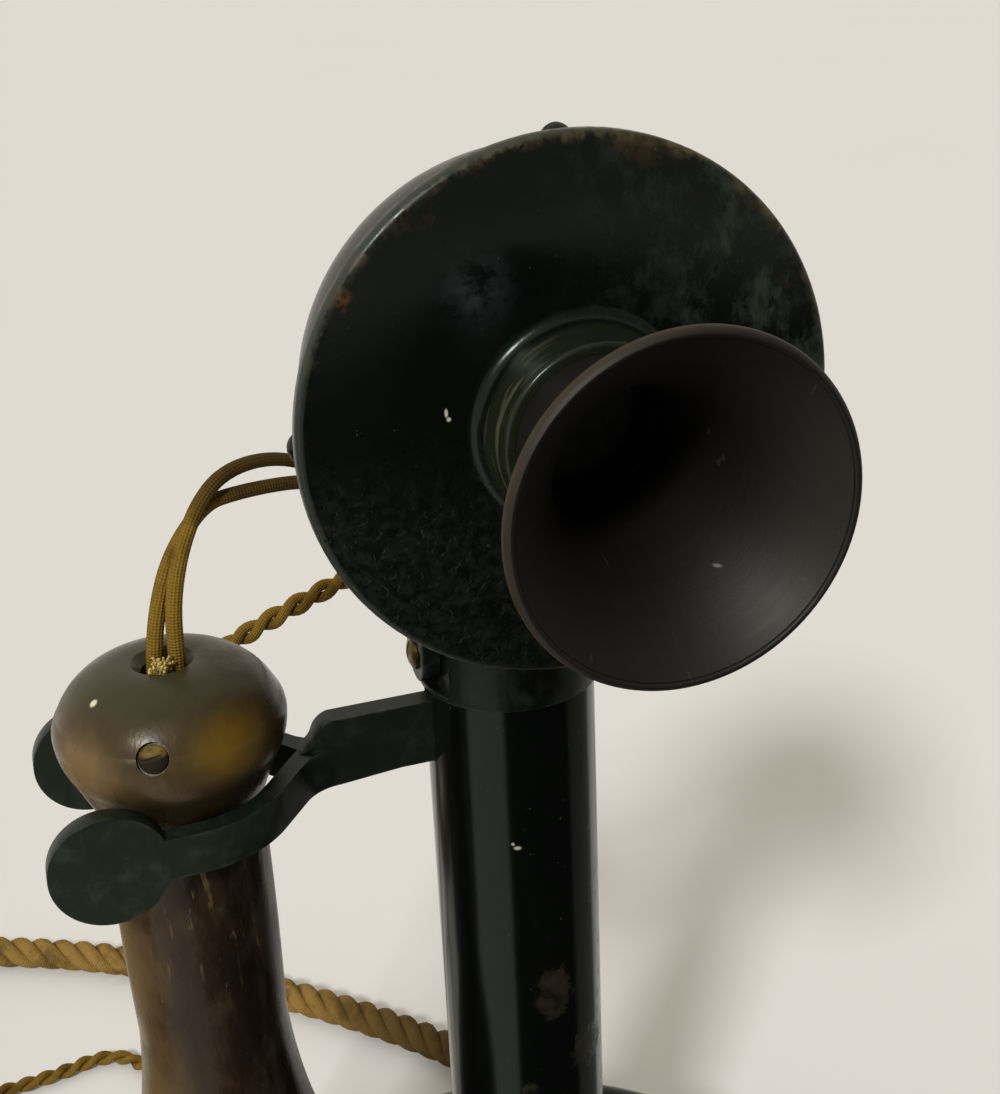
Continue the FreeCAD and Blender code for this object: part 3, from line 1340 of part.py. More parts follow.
def export():
    doc.recompute()
    for item in doc.Objects:
        if "Invalid" in item.State or "Error" in item.State:
            raise RuntimeError(f"{item.Label} failed: {item.State}")
    os.makedirs("parts", exist_ok=True)
    shapes = {}
    for name in NODES:
        shape = doc.getObjectsByLabel(name)[0].Shape
        if shape.isNull() or not shape.isValid() or not shape.Solids:
            raise RuntimeError(f"{name} is not a sound solid")
        shapes[name] = shape
    for name, shape in shapes.items():
        shape.exportStep(f"parts/{name}.step")
    print(len(shapes), "nodes written")


make_base()
make_terminal_block()
make_stem()
make_cap()
make_switch()
make_hook()
make_transmitter_case()
make_transmitter_works()
make_receiver_case()
make_receiver_works()
make_cords()
export()
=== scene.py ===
"""Looks for the pedestal desk telephone, in metres, in the frame of its solids."""
import json
import math

import bpy
import numpy as np
from mathutils import Matrix, Vector


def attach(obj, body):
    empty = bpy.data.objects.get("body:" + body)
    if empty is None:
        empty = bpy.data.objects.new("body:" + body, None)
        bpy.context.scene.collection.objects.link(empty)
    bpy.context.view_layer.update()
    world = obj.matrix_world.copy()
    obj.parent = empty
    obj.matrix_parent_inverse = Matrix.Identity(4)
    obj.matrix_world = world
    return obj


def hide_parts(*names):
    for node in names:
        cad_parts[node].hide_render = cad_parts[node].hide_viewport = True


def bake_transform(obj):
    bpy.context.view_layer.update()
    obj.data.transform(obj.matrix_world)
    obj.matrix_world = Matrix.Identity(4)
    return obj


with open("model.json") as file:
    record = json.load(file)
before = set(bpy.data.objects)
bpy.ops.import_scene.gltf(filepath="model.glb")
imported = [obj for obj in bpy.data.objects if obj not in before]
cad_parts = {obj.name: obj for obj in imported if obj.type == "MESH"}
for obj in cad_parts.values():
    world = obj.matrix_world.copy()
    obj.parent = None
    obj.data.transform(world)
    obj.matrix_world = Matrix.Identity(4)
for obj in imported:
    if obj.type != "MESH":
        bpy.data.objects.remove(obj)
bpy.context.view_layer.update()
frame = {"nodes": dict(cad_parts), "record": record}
NODES = frame["nodes"]
MM = 0.001


# Camera, floor and light

CAMERA_AT = (-0.0704, -0.22587, 0.30708)
CAMERA_RIGHT = (0.9488, -0.3133, -0.0421)
CAMERA_UP = (0.1642, 0.3747, 0.9124)
FOCAL_PIXELS = 1600
FRAME_HEIGHT = 1094
SENSOR = 36.0
FLOOR_REACH = 9
FLAG_REACHES = (0.08, 2.5)
FLAG_HEIGHT = 0.001
FLAG_PIECES = 24
KEY_ENERGY = 2.0
KEY_SPREAD = 9
KEY_COLOR = (0.97, 0.985, 1.0)
TO_KEY_LIGHT = (-0.454, -0.625, 0.635)
SKY_COLOR = (0.90, 0.84, 0.725)
SKY_BRIGHT = 0.74
SKY_DIM = 0.24
DIM_SIDE = (0.50, -0.86, 0.10)


def link(item):
    bpy.context.scene.collection.objects.link(item)
    return item


def make_camera():
    data = bpy.data.cameras.new("camera")
    data.sensor_width = SENSOR
    data.lens = SENSOR * FOCAL_PIXELS / FRAME_HEIGHT
    camera = link(bpy.data.objects.new("camera", data))
    right = Vector(CAMERA_RIGHT).normalized()
    back = right.cross(Vector(CAMERA_UP)).normalized()
    turn = Matrix((right, back.cross(right), back)).transposed()
    camera.matrix_world = Matrix.Translation(CAMERA_AT) @ turn.to_4x4()
    bpy.context.scene.camera = camera


def stage_piece(name, points, faces):
    """A flat piece of the surroundings."""
    mesh = bpy.data.meshes.new(name)
    mesh.from_pydata(points, [], faces)
    item = link(bpy.data.objects.new(name, mesh))
    return item


def flag(name, start, end, cloth):
    """A dark sector of the floor round the stem, between two bearings, that only reflections see."""
    points = []
    for index in range(FLAG_PIECES + 1):
        turn = math.radians(start + (end - start) * index / FLAG_PIECES)
        points += [(reach * math.cos(turn), reach * math.sin(turn), FLAG_HEIGHT) for reach in FLAG_REACHES]
    faces = [(2 * i, 2 * i + 1, 2 * i + 3, 2 * i + 2) for i in range(FLAG_PIECES)]
    item = stage_piece(name, points, faces)
    item.data.materials.append(cloth)
    item.visible_camera = False
    item.visible_diffuse = False
    item.visible_shadow = False
    item.visible_transmission = False


def make_stage():
    """A pale floor, a soft key light from the front left, a sky dimmer at the right, and dark flags."""
    corners = [(FLOOR_REACH * x, FLOOR_REACH * y, 0) for x, y in ((-1, -1), (1, -1), (1, 1), (-1, 1))]
    floor = stage_piece("floor", corners, [(0, 1, 2, 3)])
    paint = Surface("floor_paint", specular=0.2)
    tone = paint.mix(paint.noise(3), (0.81, 0.80, 0.775), (0.835, 0.825, 0.80))
    floor.data.materials.append(paint.finish(tone, 0.7))

    black = Surface("black_cloth", specular=0.0).finish((0.004, 0.004, 0.004), 1.0)
    grey = Surface("grey_cloth", specular=0.0).finish((0.17, 0.175, 0.16), 1.0)
    flag("front_flag", 243, 334, black)
    flag("right_flag", 334, 378, grey)
    flag("left_flag", 150, 193, black)

    data = bpy.data.lights.new("key", "SUN")
    data.energy = KEY_ENERGY
    data.angle = math.radians(KEY_SPREAD)
    data.color = KEY_COLOR
    key = link(bpy.data.objects.new("key", data))
    key.rotation_mode = "QUATERNION"
    key.rotation_quaternion = (-Vector(TO_KEY_LIGHT)).to_track_quat("-Z", "Y")

    world = bpy.data.worlds.new("sky")
    world.use_nodes = True
    tree = world.node_tree
    background = tree.nodes["Background"]
    background.inputs["Color"].default_value = (*SKY_COLOR, 1.0)
    toward = tree.nodes.new("ShaderNodeVectorMath")
    toward.operation = "DOT_PRODUCT"
    toward.inputs[1].default_value = DIM_SIDE
    tree.links.new(tree.nodes.new("ShaderNodeTexCoord").outputs["Generated"], toward.inputs[0])
    strength = tree.nodes.new("ShaderNodeMapRange")
    for name, value in (("From Min", -0.1), ("From Max", 0.8), ("To Min", SKY_BRIGHT), ("To Max", SKY_DIM)):
        strength.inputs[name].default_value = value
    tree.links.new(toward.outputs["Value"], strength.inputs["Value"])
    tree.links.new(strength.outputs["Result"], background.inputs["Strength"])
    bpy.context.scene.world = world
    bpy.context.scene.view_settings.view_transform = "Standard"


# Materials

class Surface:
    """A material: noises, masks and mixes joined to one shader."""

    def __init__(self, name, metallic=0.0, specular=0.5, tint=(1, 1, 1)):
        self.material = bpy.data.materials.new(name)
        self.material.use_nodes = True
        self.tree = self.material.node_tree
        self.shader = self.tree.nodes["Principled BSDF"]
        self.shader.inputs["Metallic"].default_value = metallic
        self.shader.inputs["Specular IOR Level"].default_value = specular
        self.shader.inputs["Specular Tint"].default_value = (*tint, 1.0)
        places = self.add("ShaderNodeTexCoord")
        self.place = places.outputs["Object"]
        self.x, self.y, self.z = self.add("ShaderNodeSeparateXYZ", {0: self.place}).outputs
        self.around, self.along, _ = self.add("ShaderNodeSeparateXYZ", {0: places.outputs["UV"]}).outputs

    def add(self, kind, inputs=None, **settings):
        node = self.tree.nodes.new(kind)
        for name, value in settings.items():
            setattr(node, name, value)
        for name, value in (inputs or {}).items():
            self.feed(node.inputs[name], value)
        return node

    def feed(self, socket, value):
        if isinstance(value, bpy.types.NodeSocket):
            self.tree.links.new(value, socket)
        elif socket.type == "RGBA":
            socket.default_value = (*value, 1.0)
        else:
            socket.default_value = value

    def calc(self, operation, first, second=0.0):
        return self.add("ShaderNodeMath", {0: first, 1: second}, operation=operation).outputs[0]

    def noise(self, scale, detail=3.0, roughness=0.55, stretch=(1, 1, 1), shift=(0, 0, 0)):
        """Noise of about scale grains to the metre, drawn out along an axis whose stretch is under 1."""
        moved = self.add("ShaderNodeVectorMath", {0: self.place, 1: stretch, 2: shift},
                         operation="MULTIPLY_ADD")
        return self.add("ShaderNodeTexNoise", {
            "Vector": moved.outputs[0], "Scale": scale, "Detail": detail, "Roughness": roughness,
        }).outputs["Fac"]

    def step(self, value, low, high):
        """Goes smoothly from 0 at low to 1 at high."""
        return self.add("ShaderNodeMapRange", {"Value": value, "From Min": low, "From Max": high},
                        interpolation_type="SMOOTHSTEP").outputs["Result"]

    def both(self, *masks):
        product = masks[0]
        for mask in masks[1:]:
            product = self.calc("MULTIPLY", product, mask)
        return product

    def either(self, *masks):
        most = masks[0]
        for mask in masks[1:]:
            most = self.calc("MAXIMUM", most, mask)
        return most

    def near(self, point, radius, core, squeeze=(1, 1, 1)):
        """1 close to a point, falling to 0 at a radius; a squeeze over 1 shrinks it along that axis."""
        gap = self.add("ShaderNodeVectorMath", {0: self.place, 1: point}, operation="SUBTRACT").outputs[0]
        gap = self.add("ShaderNodeVectorMath", {0: gap, 1: squeeze}, operation="MULTIPLY").outputs[0]
        reach = self.add("ShaderNodeVectorMath", {0: gap}, operation="LENGTH").outputs["Value"]
        return self.step(reach, radius, radius * core)

    def torn(self, mask, noise):
        """A mask whose edge follows a noise."""
        return self.step(self.calc("ADD", mask, noise), 0.60, 1.70)

    def from_axis(self, first, second):
        """Distance from an axis, given the two coordinates across it."""
        squares = [self.calc("POWER", value, 2) for value in (first, second)]
        return self.calc("SQRT", self.calc("ADD", *squares))

    def edges(self, radius):
        """1 along sharp edges, falling to 0 within a radius of them."""
        rounded = self.add("ShaderNodeBevel", {"Radius": radius}, samples=6).outputs[0]
        plain = self.add("ShaderNodeNewGeometry").outputs["Normal"]
        turn = self.add("ShaderNodeVectorMath", {0: rounded, 1: plain}, operation="DOT_PRODUCT")
        return self.step(turn.outputs["Value"], 0.985, 0.90)

    def mix(self, share, first, second):
        return self.add("ShaderNodeMix", {0: share, 6: first, 7: second}, data_type="RGBA").outputs[2]

    def blend(self, share, first, second):
        return self.add("ShaderNodeMix", {0: share, 2: first, 3: second}).outputs[0]

    def finish(self, color, roughness, height=None, depth=0.0):
        """Joins colour, roughness and a bump of some depth in metres."""
        self.feed(self.shader.inputs["Base Color"], color)
        self.feed(self.shader.inputs["Roughness"], roughness)
        if height is not None:
            bump = self.add("ShaderNodeBump", {"Height": height, "Distance": depth})
            self.tree.links.new(bump.outputs[0], self.shader.inputs["Normal"])
        return self.material


# Places that the marks of wear, and the painted highlight on the knob's flank, go by
FACE_HEIGHT = 0.235
FACE_CLOUD = (-0.0135, -0.0366, 0.2548)
FACE_SPOT = (-0.0306, -0.0352, 0.2551)
FACE_CHIP = (-0.0184, -0.0371, 0.2391)
FACE_CHIP_BELOW = (-0.0181, -0.0371, 0.2382)
STEM_PATCH = (0.0010, -0.0142, 0.1225)
STEM_PATCH_RIGHT = (0.0085, -0.0115, 0.1060)
STEM_PATCH_LEFT = (-0.0040, -0.0137, 0.1010)
STEM_CHIP = (-0.0041, -0.0137, 0.1532)
STEM_CHIP_ABOVE = (-0.0048, -0.0135, 0.1540)
HORN_NICK = (0.0079, -0.0630, 0.2236)
RECEIVER_X = -0.056
KNOB_PAINTED_LIGHT = (-0.0709, -0.0104, 0.1806)
KNOB_PATCH = (-0.0466, -0.0153, 0.1842)
KNOB_CHIP = (-0.0673, -0.0061, 0.1906)


def scratches(paint, scale, stretch, share):
    """Thin streaks drawn out along one axis."""
    return paint.step(paint.noise(scale, 2.0, 0.5, stretch), share, share + 0.05)


def japanned():
    """Black-green japan: brown at the rim, dull and pitted at the lower left, smudged grey at the right with
    a painted sheen over the upper middle, and a painted highlight along the rim's left side.
    """
    paint = Surface("japanned_metal", specular=0.34, tint=(0.84, 1.0, 0.86))
    up = paint.calc("SUBTRACT", paint.z, FACE_HEIGHT)
    out = paint.from_axis(paint.x, up)
    broad = paint.noise(45, 4.0)
    grain = paint.noise(420, 5.0, 0.65)
    fine = paint.noise(1500, 3.0)
    color = paint.mix(broad, (0.0007, 0.0012, 0.0009), (0.0028, 0.0040, 0.0029))

    right = paint.step(paint.x, 0.002, 0.024)
    top = paint.step(up, 0.004, 0.028)
    upper_right = paint.both(right, paint.step(up, -0.012, 0.012))
    mottle = paint.step(paint.noise(170, 6.0, 0.75, (1.2, 1.0, 0.8), (3.1, 0, 0)), 0.44, 0.68)
    # Painted sheen: a paler mottle over the upper middle of the face; it joins the real grey smudges at the
    # right.
    painted_sheen_upper = paint.both(paint.step(paint.x, -0.008, 0.012), paint.step(up, 0.0, 0.020))
    smudge_and_sheen = paint.both(paint.either(upper_right, paint.calc("MULTIPLY", right, 0.45),
                                     paint.calc("MULTIPLY", painted_sheen_upper, 0.55)), mottle)
    color = paint.mix(paint.calc("MULTIPLY", smudge_and_sheen, 0.75), color, (0.027, 0.037, 0.026))
    cloud = paint.both(paint.near(FACE_CLOUD, 0.0070, 0.0), paint.step(grain, 0.34, 0.64))
    color = paint.mix(paint.calc("MULTIPLY", cloud, 0.7), color, (0.020, 0.028, 0.032))
    freckles = paint.both(paint.step(fine, 0.68, 0.73), paint.step(grain, 0.52, 0.64))
    color = paint.mix(freckles, color, (0.045, 0.050, 0.034))

    edge = paint.step(out, 0.0360, 0.0375)
    ragged = paint.step(paint.noise(300, 5.0, 0.7), 0.40, 0.60)
    rubbed = paint.both(edge, ragged, paint.either(top, paint.calc("MULTIPLY", right, 0.7), 0.18))
    rust = paint.mix(paint.step(grain, 0.40, 0.64), (0.026, 0.0125, 0.0045), (0.085, 0.062, 0.026))
    color = paint.mix(paint.calc("MULTIPLY", rubbed, 0.9), color, rust)
    bloom = paint.both(paint.step(out, 0.0315, 0.0366), paint.step(paint.noise(150, 5.0, 0.7), 0.52, 0.70),
                       paint.either(top, paint.calc("MULTIPLY", upper_right, 0.9)))
    color = paint.mix(paint.calc("MULTIPLY", bloom, 0.6), color, (0.036, 0.018, 0.006))
    spot = paint.both(paint.near(FACE_SPOT, 0.0021, 0.2), paint.step(grain, 0.46, 0.60))
    color = paint.mix(spot, color, (0.062, 0.025, 0.006))

    boss = paint.both(paint.step(out, 0.0180, 0.0145), paint.step(paint.y, -0.0385, -0.0402))
    dusty = paint.calc("MULTIPLY", boss, paint.blend(grain, 0.3, 1.0))
    color = paint.mix(dusty, color, (0.0150, 0.0185, 0.0085))
    brushed = paint.step(paint.noise(900, 3.0, 0.6, (0.10, 1.0, 0.10), (0, 5, 0)), 0.52, 0.66)
    scraped = paint.both(boss, brushed, paint.step(paint.x, -0.0020, -0.0110))
    color = paint.mix(paint.calc("MULTIPLY", scraped, 0.55), color, (0.105, 0.098, 0.058))
    sliver = (2.6, 1.0, 1.0)
    chip = paint.either(paint.near(FACE_CHIP, 0.0008, 0.4, sliver),
                        paint.near(FACE_CHIP_BELOW, 0.0004, 0.4))
    color = paint.mix(chip, color, (0.50, 0.47, 0.36))

    # Painted highlight: a paler green-grey band along the outer edge of the rim's left side.
    side = paint.both(paint.step(out, 0.0372, 0.0378), paint.step(paint.x, 0.010, -0.010))
    color = paint.mix(paint.calc("MULTIPLY", side, 0.8), color, (0.040, 0.046, 0.036))
    low_left = paint.both(paint.step(paint.x, 0.014, -0.012), paint.step(up, 0.004, -0.014))
    dull = paint.both(low_left, paint.step(paint.noise(620, 5.0, 0.7, shift=(0, 0, 4)), 0.34, 0.68))
    color = paint.mix(paint.calc("MULTIPLY", dull, 0.42), color, (0.0078, 0.0104, 0.0074))

    rough = paint.blend(broad, 0.20, 0.30)
    rough = paint.blend(paint.either(smudge_and_sheen, rubbed, scraped, cloud, dull), rough, 0.48)
    pits = paint.both(low_left, paint.step(paint.noise(800, 2.0, 0.5), 0.44, 0.30))
    height = paint.calc("SUBTRACT", paint.calc("MULTIPLY", grain, 0.12), paint.calc("MULTIPLY", pits, 0.22))
    return paint.finish(color, rough, height, 0.00030)


def enamel():
    """Deep gloss black on the stem and base, with brown worn patches low on the stem."""
    paint = Surface("black_enamel", specular=0.34, tint=(0.78, 1.0, 0.86))
    broad = paint.noise(38, 4.0)
    grain = paint.noise(300, 5.0, 0.7)
    color = paint.mix(broad, (0.0010, 0.0014, 0.0012), (0.0030, 0.0038, 0.0032))
    patch = paint.either(paint.near(STEM_PATCH, 0.0078, 0.2, (1.2, 1.0, 0.8)),
                         paint.calc("MULTIPLY", paint.near(STEM_PATCH_RIGHT, 0.0090, 0.2), 0.8),
                         paint.calc("MULTIPLY", paint.near(STEM_PATCH_LEFT, 0.0045, 0.2), 0.6))
    side = paint.both(paint.step(paint.x, 0.0070, 0.0125), paint.step(paint.z, 0.165, 0.140),
                      paint.step(paint.z, 0.060, 0.080))
    rags = paint.calc("MULTIPLY", paint.noise(260, 6.0, 0.75, (1.0, 1.0, 0.8), (0, 0, 2.3)), 2.2)
    rubbed = paint.either(patch, paint.calc("MULTIPLY", side, 0.5))
    worn = paint.step(paint.calc("ADD", rubbed, rags), 1.55, 2.05)
    bare = paint.both(worn, paint.step(grain, 0.30, 0.56))
    brown = paint.mix(grain, (0.008, 0.0058, 0.0034), (0.026, 0.0190, 0.0110))
    color = paint.mix(bare, color, brown)
    specks = paint.step(paint.noise(900, 2.0), 0.745, 0.77)
    color = paint.mix(specks, color, (0.045, 0.042, 0.032))
    chip = paint.either(paint.near(STEM_CHIP, 0.0007, 0.3, (0.8, 1.0, 1.4)),
                        paint.near(STEM_CHIP_ABOVE, 0.0004, 0.3))
    color = paint.mix(chip, color, (0.40, 0.36, 0.27))
    rough = paint.blend(paint.either(worn, specks), paint.blend(grain, 0.13, 0.20), 0.42)
    height = paint.calc("SUBTRACT", paint.calc("MULTIPLY", paint.noise(90, 2.0), 0.5),
                        paint.calc("MULTIPLY", worn, 0.5))
    return paint.finish(color, rough, height, 0.00008)


def blackened():
    """Satin green-black on the hook, cap and yoke, faintly mottled, rubbed along the edges."""
    paint = Surface("blackened_brass", specular=0.36, tint=(0.84, 1.0, 0.86))
    mottle = paint.noise(260, 5.0, 0.65)
    broad = paint.noise(60, 3.0)
    color = paint.mix(broad, (0.0034, 0.0050, 0.0032), (0.0070, 0.0092, 0.0062))
    handled = paint.step(paint.x, -0.035, -0.060)
    color = paint.mix(handled, color, (0.0105, 0.0145, 0.0098))
    color = paint.mix(paint.step(paint.z, 0.176, 0.180), color, (0.0018, 0.0026, 0.0017))
    spots = paint.both(paint.step(mottle, 0.46, 0.72), paint.blend(handled, 0.35, 0.9))
    color = paint.mix(spots, color, (0.0220, 0.0290, 0.0195))
    rubbed = paint.both(paint.edges(0.0007), paint.step(paint.noise(420, 4.0, 0.7), 0.42, 0.62))
    color = paint.mix(paint.calc("MULTIPLY", rubbed, 0.6), color, (0.050, 0.052, 0.036))
    worn = paint.both(paint.step(paint.noise(620, 4.0, 0.7), 0.66, 0.74), paint.step(broad, 0.44, 0.62))
    color = paint.mix(paint.calc("MULTIPLY", worn, 0.6), color, (0.055, 0.052, 0.036))
    rough = paint.blend(mottle, 0.36, 0.50)
    return paint.finish(color, rough, paint.noise(650, 4.0, 0.6), 0.00006)


def mouth_ebonite():
    """Satin brown-black ebonite, rubbed tan on the lip's upper left, with fine turning marks in the horn."""
    paint = Surface("mouthpiece_ebonite", specular=0.38, tint=(1.0, 0.98, 0.88))
    up = paint.calc("SUBTRACT", paint.z, FACE_HEIGHT)
    out = paint.from_axis(paint.x, up)
    broad = paint.noise(55, 4.0)
    fine = paint.noise(1300, 4.0, 0.7)
    color = paint.mix(broad, (0.0036, 0.0029, 0.0024), (0.0080, 0.0062, 0.0048))
    lip = paint.both(paint.step(out, 0.0215, 0.0232), paint.step(paint.y, -0.0690, -0.0710))
    left = paint.step(paint.calc("SUBTRACT", paint.calc("MULTIPLY", up, 0.35), paint.x), -0.010, 0.012)
    rubbed = paint.both(lip, left, paint.blend(paint.noise(160, 4.0, 0.7), 0.3, 1.0))
    color = paint.mix(rubbed, color, (0.078, 0.045, 0.019))
    turned = paint.noise(60, 3.0, 0.6, (1.0, 22.0, 1.0))
    lines = scratches(paint, 300, (5.0, 0.6, 1.0), 0.71)
    nick = paint.near(HORN_NICK, 0.0009, 0.2, (1.0, 1.0, 3.2))
    color = paint.mix(paint.either(paint.calc("MULTIPLY", lines, 0.10), nick), color, (0.15, 0.13, 0.10))
    rough = paint.blend(turned, 0.46, 0.60)
    return paint.finish(color, rough, paint.calc("ADD", fine, paint.calc("MULTIPLY", turned, 0.8)), 0.00002)


def receiver_ebonite():
    """Ebonite gone brown and yellowed in a patch on the knob, with painted light on its lit left and painted
    shade towards the stem.
    """
    paint = Surface("receiver_ebonite", specular=0.30, tint=(1.0, 0.92, 0.78))
    broad = paint.noise(48, 4.0)
    blotch = paint.noise(170, 5.0, 0.68, (1.0, 1.0, 0.40))
    streak = paint.noise(820, 4.0, 0.65, (1.0, 1.0, 0.15))
    fine = paint.noise(1500, 3.0, 0.6, (1.0, 1.0, 0.30))
    # Painted light and shade: across runs towards the camera's right; the body is painted pale on its lit
    # left and dark towards the stem on its right, darker still in a band further right, and the pale blotches
    # fade on the shaded side.
    across = paint.calc("SUBTRACT", paint.calc("MULTIPLY", paint.calc("SUBTRACT", paint.x, RECEIVER_X), 0.95),
                        paint.calc("MULTIPLY", paint.y, 0.31))
    ragged = paint.calc("ADD", across, paint.calc("MULTIPLY", paint.calc("SUBTRACT", broad, 0.5), 0.012))
    painted_shade_side = paint.step(ragged, -0.0135, 0.0005)
    body = paint.mix(painted_shade_side, (0.160, 0.100, 0.044), (0.0170, 0.0090, 0.0050))
    body = paint.mix(paint.step(ragged, 0.0030, 0.0120), body, (0.0070, 0.0038, 0.0022))
    pale = paint.both(paint.step(blotch, 0.46, 0.70), paint.blend(painted_shade_side, 0.8, 0.16))
    body = paint.mix(pale, body, (0.120, 0.078, 0.034))
    stain = paint.calc("MULTIPLY", paint.step(blotch, 0.47, 0.30), 0.55)
    body = paint.mix(stain, body, (0.020, 0.0105, 0.0062))
    high = paint.both(paint.step(paint.z, 0.132, 0.150), paint.step(paint.z, 0.172, 0.166))
    flecks = paint.either(paint.both(paint.step(streak, 0.60, 0.70), high),
                          paint.both(paint.step(fine, 0.69, 0.74), paint.step(broad, 0.44, 0.60)))
    body = paint.mix(paint.calc("MULTIPLY", flecks, 0.60), body, (0.150, 0.098, 0.036))

    knob = paint.mix(broad, (0.046, 0.0300, 0.0100), (0.074, 0.0480, 0.0180))
    knob = paint.mix(paint.step(paint.z, 0.1865, 0.1915), knob, (0.043, 0.0370, 0.0180))
    smear = paint.both(paint.step(blotch, 0.40, 0.66),
                       paint.step(paint.noise(75, 3.0, shift=(0, 3, 0)), 0.42, 0.60))
    knob = paint.mix(paint.calc("MULTIPLY", smear, 0.75), knob, (0.018, 0.0120, 0.0055))
    # Painted highlight: the knob's lower left flank, where the light falls, is painted pale.
    painted_light_flank = paint.torn(paint.near(KNOB_PAINTED_LIGHT, 0.0115, 0.1), blotch)
    knob = paint.mix(painted_light_flank, knob, (0.185, 0.118, 0.052))
    patch = paint.torn(paint.near(KNOB_PATCH, 0.0130, 0.1, (0.9, 1.0, 1.5)), blotch)
    knob = paint.mix(patch, knob, (0.140, 0.078, 0.006))
    under = paint.both(paint.step(paint.z, 0.1815, 0.1755), paint.step(paint.x, -0.0690, -0.0610))
    knob = paint.mix(paint.calc("MULTIPLY", under, 0.85), knob, (0.0100, 0.0054, 0.0016))
    # Painted shade: the knob darkens towards the camera's right, facing the stem.
    painted_shade_knob = paint.calc("MULTIPLY", paint.step(across, 0.0100, 0.0180), 0.8)
    knob = paint.mix(painted_shade_knob, knob, (0.014, 0.0095, 0.0035))
    chip = paint.near(KNOB_CHIP, 0.0008, 0.4, (1.0, 1.0, 0.7))
    knob = paint.mix(chip, knob, (0.74, 0.68, 0.48))
    color = paint.mix(paint.step(paint.z, 0.1715, 0.1745), body, knob)
    rough = paint.blend(paint.step(blotch, 0.3, 0.7), 0.20, 0.38)
    height = paint.calc("ADD", paint.calc("MULTIPLY", blotch, 0.7), paint.calc("MULTIPLY", fine, 0.3))
    return paint.finish(color, rough, height, 0.00010)


def aged_metal(name, bright, dull, metallic=1.0):
    """Bare metal with a tarnish that gathers in patches."""
    paint = Surface(name, metallic=metallic)
    patches = paint.noise(480, 5.0, 0.65)
    color = paint.mix(paint.step(patches, 0.38, 0.62), bright, dull)
    return paint.finish(color, paint.blend(patches, 0.30, 0.48), paint.noise(1400, 3.0), 0.00002)


def tail_brass():
    """The tail screw's brass: rubbed gold above, and painted shade below, dark where it sits in its recess.
    """
    paint = Surface("tail_brass", metallic=0.15, specular=0.1)
    patches = paint.noise(700, 5.0, 0.65)
    # Painted shade: the screw is painted dark below its middle, as if shaded by its recess.
    unshaded_upper = paint.step(paint.calc("ADD", paint.z, paint.calc("MULTIPLY", patches, 0.0012)), 0.1858, 0.1868)
    gold = paint.mix(paint.step(patches, 0.40, 0.62), (0.21, 0.140, 0.038), (0.105, 0.070, 0.022))
    color = paint.mix(unshaded_upper, (0.020, 0.014, 0.008), gold)
    return paint.finish(color, paint.blend(patches, 0.48, 0.62), paint.noise(1400, 3.0), 0.00003)


def plain_matter(name, low, high, scale, rough, depth, specular=0.4):
    """Moulded or pressed stuff with an even grain."""
    paint = Surface(name, specular=specular)
    grain = paint.noise(scale, 4.0, 0.6)
    color = paint.mix(grain, low, high)
    return paint.finish(color, paint.blend(grain, *rough), grain, depth)


def winding():
    """Fine enamelled wire, wound in level turns."""
    paint = Surface("coil_winding", metallic=0.8)
    turns = paint.calc("SINE", paint.calc("MULTIPLY", paint.z, 2 * math.pi / (0.35 * MM)))
    color = paint.mix(paint.noise(200), (0.30, 0.11, 0.035), (0.46, 0.19, 0.065))
    return paint.finish(color, 0.35, turns, 0.00008)


def braid(name, threads, dark, light, metre_turns, darkened_point=(0.0, 0.0, 0.0), reach=0.0):
    """Woven cotton: threads cross in diamonds around and along a strand, darker within reach of a point."""
    paint = Surface(name, specular=0.25)
    across = paint.calc("MULTIPLY", paint.around, threads)
    down = paint.calc("MULTIPLY", paint.along, metre_turns)
    first = paint.calc("SINE", paint.calc("MULTIPLY", paint.calc("ADD", across, down), 2 * math.pi))
    second = paint.calc("SINE", paint.calc("MULTIPLY", paint.calc("SUBTRACT", across, down), 2 * math.pi))
    weave = paint.calc("MULTIPLY_ADD", paint.calc("MULTIPLY", first, second), 0.5)
    weave.node.inputs[2].default_value = 0.5
    soil = paint.noise(120, 4.0, 0.65)
    fuzz = paint.noise(2600, 2.0)
    color = paint.mix(paint.blend(weave, paint.calc("MULTIPLY", fuzz, 0.8), 0.9), dark, light)
    color = paint.mix(paint.calc("MULTIPLY", paint.step(soil, 0.46, 0.66), 0.65), color, dark)
    # Darker within reach of a point; on the line cord this is painted shadow near the stem.
    if reach:
        darkened_color = [value * 0.45 for value in dark]
        color = paint.mix(paint.calc("MULTIPLY", paint.near(darkened_point, reach, 0.3), 0.75), color, darkened_color)
    height = paint.calc("ADD", weave, paint.calc("MULTIPLY", fuzz, 0.5))
    return paint.finish(color, paint.blend(weave, 0.95, 0.82), height, 0.00022)


def make_materials():
    """Every material by the record's slot."""
    return {
        "black_enamel": enamel(),
        "japanned_metal": japanned(),
        "blackened_brass": blackened(),
        "brass": aged_metal("aged_brass", (0.34, 0.23, 0.085), (0.105, 0.074, 0.030)),
        "steel": aged_metal("dull_steel", (0.42, 0.42, 0.43), (0.22, 0.21, 0.20)),
        # Painted shade: the diaphragms are painted near black so the throat behind the mouthpiece reads dark.
        "diaphragm_aluminium": aged_metal("aluminium_in_painted_shade", (0.022, 0.022, 0.021), (0.010, 0.010, 0.009),
                                          metallic=0.3),
        "mouthpiece_ebonite": mouth_ebonite(),
        "receiver_ebonite": receiver_ebonite(),
        "insulation": plain_matter("insulation", (0.012, 0.010, 0.009), (0.026, 0.022, 0.019), 300,
                                   (0.40, 0.55), 0.00005),
        "gasket_rubber": plain_matter("gasket_rubber", (0.012, 0.012, 0.012), (0.024, 0.023, 0.022), 700,
                                      (0.7, 0.85), 0.00005),
        "felt": plain_matter("felt", (0.012, 0.030, 0.016), (0.030, 0.062, 0.036), 1800,
                             (0.92, 1.0), 0.00035, 0.15),
        "coil_winding": winding(),
    }


# Cords

